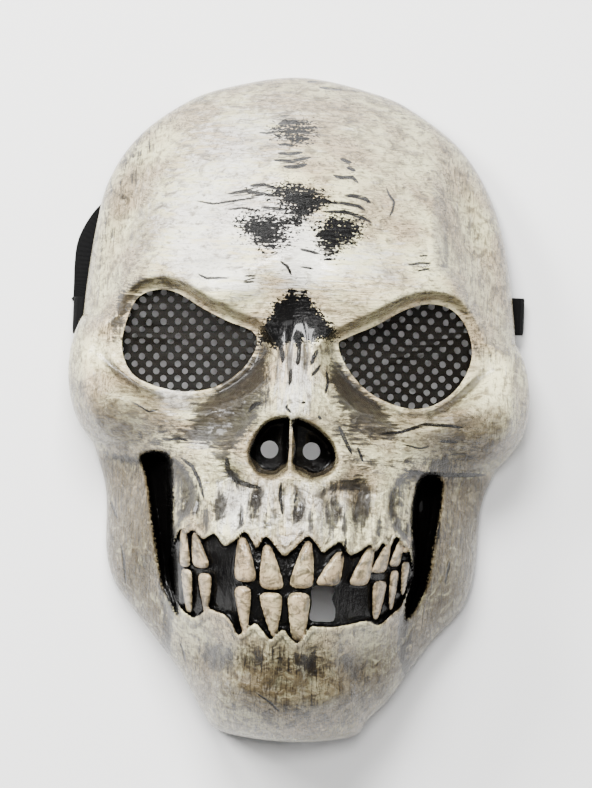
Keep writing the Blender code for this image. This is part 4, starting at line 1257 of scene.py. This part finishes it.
class Shading:
    """A material's nodes, added one by one."""

    def __init__(self, name):
        self.material = bpy.data.materials.new(name)
        self.material.use_nodes = True
        self.tree = self.material.node_tree
        self.shader = self.tree.nodes["Principled BSDF"]
        place = self.node("TexCoord").outputs["Object"]
        self.place = self.node("VectorMath", {0: place, "Scale": 1.0 / MM}, operation="SCALE").outputs[0]

    def node(self, kind, inputs=(), **settings):
        """A new node with its settings, and with values or links at its inputs."""
        node = self.tree.nodes.new("ShaderNode" + kind)
        for name, value in settings.items():
            setattr(node, name, value)
        for socket in inputs:
            self.put(inputs[socket], node.inputs[socket])
        return node

    def put(self, value, socket):
        if isinstance(value, bpy.types.NodeSocket):
            self.tree.links.new(value, socket)
        else:
            socket.default_value = value

    def opaque(self, colour):
        """A colour as a socket takes it: a link as it is, a plain colour with its opacity."""
        return colour if isinstance(colour, bpy.types.NodeSocket) else (*colour, 1.0)

    def math(self, operation, a, b=0.0):
        return self.node("Math", {0: a, 1: b}, operation=operation).outputs[0]

    def times(self, a, b):
        return self.math("MULTIPLY", a, b)

    def more(self, a, b):
        return self.math("ADD", a, b)

    def less(self, a, b):
        return self.math("SUBTRACT", a, b)

    def sway(self, pattern, amount):
        """A pattern's sway about its middle, amount to a unit of the pattern."""
        return self.times(self.less(pattern, 0.5), amount)

    def step(self, value, low, high):
        """0 up to low, 1 from high, with a soft rise between."""
        inputs = {"Value": value, "From Min": low, "From Max": high}
        return self.node("MapRange", inputs, interpolation_type="SMOOTHSTEP").outputs[0]

    def noise(self, size, detail=3.0, roughness=0.55, shift=0.0, twist=0.0):
        """Random values about 0.5, with a size in millimetres along each axis."""
        inputs = {0: self.place, 1: tuple(1.0 / s for s in size), 2: (shift, shift * 0.7, shift * 1.3)}
        vector = self.node("VectorMath", inputs, operation="MULTIPLY_ADD")
        return self.node("TexNoise", {
            "Vector": vector.outputs[0], "Scale": 1.0, "Detail": detail, "Roughness": roughness,
            "Distortion": twist,
        }).outputs["Fac"]

    def field(self, name):
        """One of the values that the mesh carries at its points."""
        return self.node("Attribute", attribute_name=name).outputs["Fac"]

    def mix(self, factor, a, b):
        """A colour between a and b."""
        inputs = {0: factor, 6: self.opaque(a), 7: self.opaque(b)}
        return self.node("Mix", inputs, data_type="RGBA").outputs[2]

    def coated(self, colour, mask, share, paint):
        """The colour with a share of a paint over it where the mask is 1."""
        return self.mix(self.times(mask, share), colour, paint)

    def blend(self, factor, a, b):
        """A number between a and b."""
        return self.node("Mix", {0: factor, 2: a, 3: b}).outputs[0]

    def bump(self, height):
        return self.node("Bump", {"Distance": MM, "Strength": 1.0, "Height": height}).outputs[0]

    def finish(self, colour, roughness, normal=None, **inputs):
        self.put(self.opaque(colour), self.shader.inputs["Base Color"])
        self.put(roughness, self.shader.inputs["Roughness"])
        if normal is not None:
            self.put(normal, self.shader.inputs["Normal"])
        for name, value in inputs.items():
            self.put(value, self.shader.inputs[name.replace("_", " ")])
        return self.material


# How bright a white surface that faces the lights is, in the scene's light
KEY_LEVEL = 3.5


def tone(red, green, blue):
    """The paint that looks like this colour, from 0 to 255, where it faces the studio's lights."""
    shares = [v / 255.0 for v in (red, green, blue)]
    return tuple(min(0.217 * (v / (1.0 - v)) ** 1.257 / KEY_LEVEL, 0.92) for v in shares)


BONE = tone(232, 227, 215)
BONE_WARM = tone(220, 214, 199)
# Cream of the painted highlights
HIGHLIGHT_CREAM = tone(244, 243, 239)
KHAKI = tone(170, 158, 126)
# Aged paint, also the painted shade of the sides
AGED_AND_SHADED_BONE = tone(118, 105, 74)
STAIN = tone(118, 102, 72)
# Streaks of dark paint, also the painted shade of the wide hollows
STREAK_AND_HOLLOW_SHADE = tone(92, 78, 55)
FURROW = tone(80, 68, 52)
# Dark wash paint, also the painted shade of the hollows
DARK_WASH_AND_SHADE = tone(44, 37, 30)
TOOTH = tone(210, 200, 180)
CRACK = tone(26, 22, 18)
INK = tone(10, 9, 9)
INSIDE = tone(150, 126, 84)

# Random patterns in the bone's paint: size along x, y and z in millimetres, detail, roughness, shift, twist
PATTERNS = {
    "across": ((12.0, 1.3, 6.0), 4.0, 0.62, 3.0, 0.5),
    "down": ((1.5, 12.0, 12.0), 4.0, 0.62, 9.0, 0.4),
    "fine_across": ((5.0, 0.5, 3.0), 3.0, 0.6, 15.0, 0.3),
    "fine_down": ((0.55, 5.5, 5.5), 3.0, 0.6, 19.0, 0.3),
    "mottle": ((4.6, 3.4, 4.4), 5.0, 0.66, 27.0, 0.7),
    "broad": ((24.0, 18.0, 20.0), 3.0, 0.5, 33.0, 0.0),
    "specks": ((1.1, 0.9, 1.0), 2.0, 0.55, 41.0, 0.0),
    "speckle": ((2.4, 1.5, 2.0), 3.0, 0.6, 47.0, 0.4),
    "brush": ((7.0, 0.9, 5.0), 4.0, 0.65, 51.0, 0.3),
}


class BoneShading(Shading):
    """The bone's paint, layer by layer, and the relief that follows it."""

    def __init__(self):
        super().__init__("aged_bone_plastic")
        self.seen = {name: self.noise(*row) for name, row in PATTERNS.items()}
        turn = self.field("grain_turn")
        self.grain = self.blend(turn, self.seen["across"], self.seen["down"])
        self.fine = self.blend(turn, self.seen["fine_across"], self.seen["fine_down"])
        self.mottle, self.specks = self.seen["mottle"], self.seen["specks"]
        self.light, self.rugged = self.field("light"), self.field("rugged")
        self.tooth = self.step(self.field("tooth"), 0.0, 0.35)
        self.inner = self.step(self.field("inner"), 0.4, 0.6)
        # Painted shade: the sides that turn away from the front are darkened by their facing, in one mask
        # with the aged paint
        facing = self.node("SeparateXYZ", {0: self.node("TexCoord").outputs["Normal"]})
        side = self.less(1.0, self.step(facing.outputs["Z"], 0.25, 0.92))
        self.aged_and_side_shade = self.math("MAXIMUM", self.field("aged_and_shaded"), self.times(side, 0.75))

    def bare(self):
        """Warm bone, with painted highlights brushed in cream where it stands high, and darkened by age and
        by painted shade where its sides turn from the lights.
        """
        colour = self.mix(self.step(self.seen["broad"], 0.35, 0.65), BONE, BONE_WARM)
        # Painted highlight: cream laid where the bone stands high
        high = self.step(self.more(self.light, self.sway(self.grain, 2.6)), 0.1, 0.9)
        colour = self.coated(colour, high, 0.7, HIGHLIGHT_CREAM)
        return self.coated(colour, self.aged_and_side_shade, self.more(0.74, self.sway(self.mottle, 1.6)), AGED_AND_SHADED_BONE)

    def stained(self, colour):
        """Blotches, dots and thin streaks, more of them where age and painted shade darken the paint and
        fewer on the painted highlights.
        """
        amount = self.more(self.times(self.mottle, 0.62), self.times(self.grain, 0.38))
        amount = self.more(amount, self.times(self.rugged, 0.05))
        amount = self.less(self.more(amount, self.times(self.aged_and_side_shade, 0.045)), self.times(self.light, 0.045))
        colour = self.coated(colour, self.step(amount, 0.49, 0.60), 0.62, KHAKI)
        colour = self.coated(colour, self.step(amount, 0.57, 0.68), 0.7, STAIN)
        dots = self.step(self.less(self.seen["speckle"], self.times(self.light, 0.05)), 0.56, 0.66)
        colour = self.coated(colour, dots, 0.5, STAIN)
        streaks = self.step(self.more(self.fine, self.times(self.aged_and_side_shade, 0.04)), 0.56, 0.70)
        share = self.less(self.more(0.5, self.times(self.aged_and_side_shade, 0.35)), self.times(self.light, 0.25))
        return self.coated(colour, streaks, share, STREAK_AND_HOLLOW_SHADE)

    def sunken(self, colour):
        """Dark paint left in the furrows and pits, and painted shade with dark paint in the hollows."""
        furrow = self.less(1.0, self.step(self.math("ABSOLUTE", self.less(self.grain, 0.47)), 0.003, 0.017))
        patches = self.more(self.seen["broad"], self.times(self.rugged, 0.1))
        self.furrow = self.times(furrow, self.step(patches, 0.44, 0.6))
        colour = self.coated(colour, self.furrow, 0.8, FURROW)
        # Painted shade: the hollows found from the surface's shape are darkened
        hollow_shade = self.step(self.more(self.field("hollow"), self.sway(self.specks, 0.16)), 0.03, 0.26)
        colour = self.coated(colour, hollow_shade, 0.78, DARK_WASH_AND_SHADE)
        colour = self.coated(colour, self.step(self.field("wide_hollow_shade"), 0.2, 1.4), 0.4, STREAK_AND_HOLLOW_SHADE)
        pits = self.less(self.less(0.5, self.mottle), self.sway(self.specks, 0.3))
        pits = self.times(self.step(pits, 0.04, 0.13), self.rugged)
        return self.coated(colour, pits, 0.62, DARK_WASH_AND_SHADE)

    def washed(self, colour):
        """The dark washes and painted shade, with ragged edges."""
        wash_and_shade = self.field("wash_and_shade")
        ragged = self.more(self.sway(self.grain, 2.4), self.sway(self.mottle, 1.6))
        ragged = self.more(self.more(wash_and_shade, ragged), self.sway(self.fine, 1.2))
        self.wash_and_shade = self.times(self.step(ragged, 0.3, 0.9), self.step(wash_and_shade, 0.03, 0.25))
        return self.coated(colour, self.wash_and_shade, 0.9, DARK_WASH_AND_SHADE)

    def toothed(self, colour):
        """The teeth's own colour, stained in patches."""
        shade = self.mix(self.step(self.mottle, 0.4, 0.62), TOOTH, STAIN)
        return self.coated(colour, self.tooth, 0.72, shade)

    def cracked(self, colour):
        """The cracks, with wavering edges and small breaks."""
        away = self.math("ABSOLUTE", self.more(self.field("crack"), self.sway(self.specks, 0.6)))
        width = self.field("crack_width")
        line = self.less(1.0, self.step(self.less(away, self.times(width, 1.05)), -0.22, 0.12))
        line = self.times(line, self.step(width, 0.05, 0.3))
        self.line = self.times(line, self.step(self.fine, 0.22, 0.42))
        return self.mix(self.line, colour, CRACK)

    def inked(self, colour):
        """The black brushed marks and gaps."""
        brush = self.more(self.times(self.seen["brush"], 0.5), self.times(self.specks, 0.5))
        uneven = self.times(self.less(brush, 0.5), self.times(self.field("ink_rough"), 6.5))
        self.ink = self.less(1.0, self.step(self.more(self.field("ink"), uneven), -0.12, 0.16))
        return self.mix(self.ink, colour, INK)

    def height(self):
        """The fine relief, flatter on the teeth and nearly gone inside."""
        height = self.more(self.times(self.grain, 0.75), self.times(self.fine, 0.2))
        height = self.more(height, self.times(self.seen["speckle"], 0.25))
        height = self.more(height, self.times(self.mottle, self.more(0.45, self.rugged)))
        specks = self.times(self.specks, self.more(0.05, self.times(self.rugged, 0.1)))
        height = self.more(height, specks)
        height = self.less(height, self.more(self.times(self.furrow, 0.12), self.times(self.line, 0.35)))
        height = self.times(height, self.less(1.0, self.times(self.inner, 0.8)))
        return self.times(height, self.less(1.0, self.times(self.tooth, 0.35)))


def bone_material():
    """Glossy bone-coloured plastic, washed brown and darkened with painted shade in its hollows, with painted
    highlights where it stands high, and brushed black in its gaps.
    """
    m = BoneShading()
    colour = m.washed(m.sunken(m.stained(m.bare())))
    colour = m.inked(m.cracked(m.toothed(colour)))
    colour = m.mix(m.inner, colour, INSIDE)
    rough = m.blend(m.step(m.mottle, 0.35, 0.7), 0.16, 0.32)
    for mask, value in ((m.wash_and_shade, 0.28), (m.ink, 0.2), (m.inner, 0.45)):
        rough = m.blend(mask, rough, value)
    gloss = m.less(m.less(0.5, m.times(m.ink, 0.28)), m.times(m.aged_and_side_shade, 0.24))
    coat = m.less(0.4, m.times(m.aged_and_side_shade, 0.3))
    return m.finish(colour, rough, m.bump(m.height()), Coat_Weight=coat, Coat_Roughness=0.1,
                    Specular_IOR_Level=gloss)


def net_material():
    """Dark coated net, with the fine dots of its knit."""
    m = Shading("coated_net")
    dots = m.node("TexVoronoi", {"Vector": m.place, "Scale": 1.5})
    knit = m.step(dots.outputs["Distance"], 0.15, 0.45)
    patches = m.step(m.noise((9.0, 7.0, 7.0), 3.0, 0.5, 3.0), 0.5, 0.68)
    colour = m.mix(knit, tone(62, 53, 38), tone(22, 18, 13))
    colour = m.coated(colour, patches, 0.4, tone(34, 36, 34))
    return m.finish(colour, 0.6, m.bump(m.times(knit, -0.12)), Specular_IOR_Level=0.15)


def elastic_material():
    """Black ribbed elastic of fine threads."""
    m = Shading("ribbed_elastic")
    threads = m.noise((0.45, 0.45, 0.45), 2.0, 0.5, 5.0)
    fluff = m.noise((2.5, 2.5, 2.5), 3.0, 0.6, 9.0)
    colour = m.mix(threads, tone(6, 6, 7), tone(26, 26, 28))
    colour = m.coated(colour, m.step(fluff, 0.62, 0.75), 0.2, tone(60, 60, 62))
    return m.finish(colour, 0.8, m.bump(m.times(threads, 0.12)), Specular_IOR_Level=0.12)


def floor_material():
    m = Shading("pale_floor")
    return m.finish(tone(243, 243, 242), 0.6)


# The net in each eye: its holes, their pitch across and up and their tilt in degrees, its thickness,
# its margin behind the shell and how far it lies under the opening's surface
NET_HOLE = 2.5
NET_PITCH = (5.6, 2.78)
NET_TILT = {"left": 2.0, "right": -1.0}
NET_THICKNESS = 0.5
NET_MARGIN = 2.6
NET_DROP = 3.4
NET_CREASE = 40.0

# Creases of each net: from x, y to x, y, reach either side, pinch, height
CREASES = {
    "left": (
        (-67.0, 26.0, -44.0, 25.6, 4.2, 0.42, 0.9),
        (-55.5, 42.0, -57.5, 33.0, 3.2, 0.45, 0.9),
        (-62.0, 31.0, -54.0, 30.0, 3.0, 0.35, -1.2),
    ),
    "right": (
        (69.0, 34.5, 36.0, 19.5, 4.6, 0.40, 0.9),
        (60.0, 40.0, 58.0, 33.0, 3.0, 0.3, 0.6),
        (30.0, 13.0, 52.0, 9.0, 4.0, 0.2, 0.5),
    ),
}


def creased(x, y, side):
    """Where the net's points go as it creases: pulled in to each crease, and raised or sunk along it."""
    out_x, out_y, rise = x.copy(), y.copy(), np.zeros(x.shape)
    for ax, ay, bx, by, reach, pinch, height in CREASES[side]:
        dx, dy = bx - ax, by - ay
        length = math.hypot(dx, dy)
        dx, dy = dx / length, dy / length
        along = (x - ax) * dx + (y - ay) * dy
        away = (y - ay) * dx - (x - ax) * dy
        ends = smooth((along + 2.0) / 6.0) * smooth((length + 2.0 - along) / 6.0)
        pull = pinch * away * np.exp(-((away / reach) ** 2)) * ends
        out_x = out_x + pull * dy
        out_y = out_y - pull * dx
        rise = rise + height * np.exp(-((away / (0.5 * reach)) ** 2)) * ends
    waves = 0.35 * cloud(x / 9.0, y / 8.0, 71 if side == "left" else 77)
    return out_x, out_y, rise + waves


def net_holes(side, edge, middle):
    """The rings of a net's staggered holes, those inside its edge."""
    pitch_x, pitch_y = NET_PITCH
    tilt = math.radians(NET_TILT[side])
    columns, rows = np.meshgrid(np.arange(-8, 9), np.arange(-11, 12))
    u, v = (columns + 0.5 * (rows % 2)) * pitch_x, rows * pitch_y
    x = (middle[0] + u * math.cos(tilt) - v * math.sin(tilt)).reshape(-1)
    y = (middle[1] + u * math.sin(tilt) + v * math.cos(tilt)).reshape(-1)
    size = NET_HOLE * (1.0 + 0.06 * noise(x * 0.9, y * 0.9, 81))
    clear = signed_distance(x, y, edge) < -NET_HOLE * 0.75
    return [circle(*hole, 12)[::-1] for hole in zip(x[clear], y[clear], size[clear])]


def make_net(side):
    """A thin net behind an eye opening, with staggered round holes and the creases of its stretch."""
    loop = OUTLINES["eye_" + side]
    middle = loop.mean(0)
    outward = loop[::2] - middle
    edge = loop[::2] + outward / np.linalg.norm(outward, axis=1)[:, None] * NET_MARGIN
    loops = [edge] + net_holes(side, edge, middle)
    flat = np.concatenate(loops)
    corners = tessellate_polygon([[(x, y, 0.0) for x, y in ring] for ring in loops])
    mesh_faces = []
    for a, b, c in corners:
        u, v = flat[b] - flat[a], flat[c] - flat[a]
        mesh_faces.append((a, b, c) if u[0] * v[1] - u[1] * v[0] > 0.0 else (a, c, b))
    x, y, rise = creased(flat[:, 0], flat[:, 1], side)
    hold = smooth(-signed_distance(flat[:, 0], flat[:, 1], edge) / 4.0)
    x, y = flat[:, 0] + (x - flat[:, 0]) * hold, flat[:, 1] + (y - flat[:, 1]) * hold
    top = eye_plane(x, y, side) - NET_DROP + rise * hold
    count = len(flat)
    points = np.concatenate(
        [np.column_stack([x, y, top]), np.column_stack([x, y, top - NET_THICKNESS])]
    )
    faces = list(mesh_faces) + [(c + count, b + count, a + count) for a, b, c in mesh_faces]
    start = 0
    for ring in loops:
        size = len(ring)
        for i in range(size):
            a, b = start + i, start + (i + 1) % size
            faces.append((b, a, a + count, b + count))
        start += size
    net = drawn("net_" + side, points, faces)
    faced_outward(net)
    net.data.set_sharp_from_angle(angle=math.radians(NET_CREASE))
    after = np.roll(edge, -1, 0)
    area = 0.5 * abs(np.sum(edge[:, 0] * after[:, 1] - after[:, 0] * edge[:, 1]))
    return net, edge, area


RIB_PITCH = 1.6
RIB_HEIGHT = 0.16


def make_ribbed_strap():
    """The elastic band as webbing: ribs across its width, rounded edges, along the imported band's way."""
    middles, widths, normals = strap_sections(4)
    steps = np.linalg.norm(np.diff(middles, axis=0), axis=1)
    length = np.concatenate([[0.0], np.cumsum(steps)])
    fine = np.arange(0.0, length[-1], RIB_PITCH / 4.0)
    middles, widths, normals = (
        np.stack([np.interp(fine, length, part[:, i]) for i in range(3)], 1)
        for part in (middles, widths, normals)
    )
    normals /= np.linalg.norm(normals, axis=1)[:, None]
    swell = RIB_HEIGHT * (0.5 + 0.5 * np.cos(2.0 * math.pi * fine / RIB_PITCH)) - RIB_HEIGHT
    across = np.array([-0.5, -0.46, -0.34, -0.17, 0.0, 0.17, 0.34, 0.46, 0.5])
    thick = STRAP_THICKNESS / 2.0 * np.array([0.45, 0.86, 1.0, 1.0, 1.0, 1.0, 1.0, 0.86, 0.45])
    section = [(a, t) for a, t in zip(across, thick)] + [(a, -t) for a, t in zip(across[::-1], thick[::-1])]
    corners = []
    for a, t in section:
        depth = t + math.copysign(1.0, t) * swell * (abs(t) > 0.5)
        corners.append(middles + widths * a + normals * depth[:, None])
    points = np.stack(corners, 1).reshape(-1, 3)
    size, count = len(section), len(middles)
    faces = [list(range(size))[::-1]]
    for k in range(count - 1):
        for i in range(size):
            j = (i + 1) % size
            faces.append([size * k + i, size * k + j, size * k + size + j, size * k + size + i])
    faces.append([size * (count - 1) + i for i in range(size)])
    strap = drawn("elastic_band", points, faces)
    faced_outward(strap)
    return strap


def packed_place():
    """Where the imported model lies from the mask's own frame, found from one eye panel's corners."""
    loop = OUTLINES["eye_left"]
    outward = loop - loop.mean(0)
    edge = loop + outward / np.linalg.norm(outward, axis=1)[:, None] * PANEL_MARGIN
    edge = edge[::3]
    low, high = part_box("eye_mesh_left")
    front = eye_plane(edge[:, 0], edge[:, 1], "left") - PANEL_DROP
    lowest = np.array([edge[:, 0].min(), edge[:, 1].min(), (front - PANEL_THICKNESS).min()])
    return np.array(low) / MM - lowest


def area_light(name, place, target, size, power, colour):
    light = bpy.data.lights.new(name, "AREA")
    light.shape = "RECTANGLE"
    light.size, light.size_y = size
    light.energy = power
    light.color = colour
    lamp = bpy.data.objects.new(name, light)
    lamp.location = place
    lamp.rotation_euler = (Vector(target) - Vector(place)).to_track_quat("-Z", "Y").to_euler()
    bpy.context.scene.collection.objects.link(lamp)


# The camera: the point on the mask that it looks at, its distance, the height on the mask that is seen
# at true size, the span that the picture's height takes in, and the turn of the picture in degrees
VIEW_POINT = (1.31, 6.3)
VIEW_DISTANCE = 8000.0
VIEW_LEVEL = 25.0
VIEW_SPAN = 307.3
VIEW_TURN = 2.3
SENSOR_HEIGHT = 36.0


def make_camera():
    data = bpy.data.cameras.new("camera")
    data.sensor_fit = "VERTICAL"
    data.sensor_height = SENSOR_HEIGHT
    data.lens = SENSOR_HEIGHT * (VIEW_DISTANCE - VIEW_LEVEL) / VIEW_SPAN
    data.clip_end = 20.0
    camera = bpy.data.objects.new("camera", data)
    camera.location = (
        (VIEW_POINT[0] + PLACE[0]) * MM, (VIEW_POINT[1] + PLACE[1]) * MM, VIEW_DISTANCE * MM,
    )
    camera.rotation_euler = (0.0, 0.0, math.radians(VIEW_TURN))
    bpy.context.scene.collection.objects.link(camera)
    bpy.context.scene.camera = camera


def make_floor():
    bpy.ops.mesh.primitive_plane_add(size=6.0, location=(0.0, 0.0, 0.0))
    floor = bpy.context.object
    floor.name = "floor"
    floor.data.materials.append(floor_material())


# The studio's lamps: name, place and size in metres, power in watts, colour
LAMPS = (
    ("top", (-0.15, 0.75, 1.35), (0.6, 0.4), 48.0, (1.0, 0.995, 0.98)),
    ("key", (-0.95, 0.6, 1.0), (0.5, 0.5), 34.0, (1.0, 0.99, 0.97)),
    ("side", (1.1, 0.3, 0.9), (0.3, 0.8), 3.0, (1.0, 1.0, 1.0)),
    ("overhead", (0.0, 0.07, 1.6), (0.3, 0.3), 17.0, (1.0, 1.0, 1.0)),
)
LAMPS_AIM = (0.0, 0.0, 0.05)
SKY_STRENGTH = 0.3


def make_lights():
    world = bpy.data.worlds.new("studio")
    world.use_nodes = True
    sky = world.node_tree.nodes["Background"]
    sky.inputs["Color"].default_value = (1.0, 1.0, 1.0, 1.0)
    sky.inputs["Strength"].default_value = SKY_STRENGTH
    bpy.context.scene.world = world
    for name, place, size, power, colour in LAMPS:
        area_light(name, place, LAMPS_AIM, size, power, colour)
    bpy.data.objects["overhead"].visible_glossy = False


PLACE = packed_place()
bone = make_fine_shell()
bone.data.materials.clear()
bone.data.materials.append(bone_material())
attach(bone, "root")
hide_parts("mask_shell")

net_look = net_material()
for eye in ("left", "right"):
    net, edge, flat_area = make_net(eye)
    net.data.materials.append(net_look)
    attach(net, "root")
    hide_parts("eye_mesh_" + eye)

band = make_ribbed_strap()
band.data.materials.append(elastic_material())
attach(band, "root")
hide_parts("elastic_strap")

make_floor()
make_lights()
make_camera()
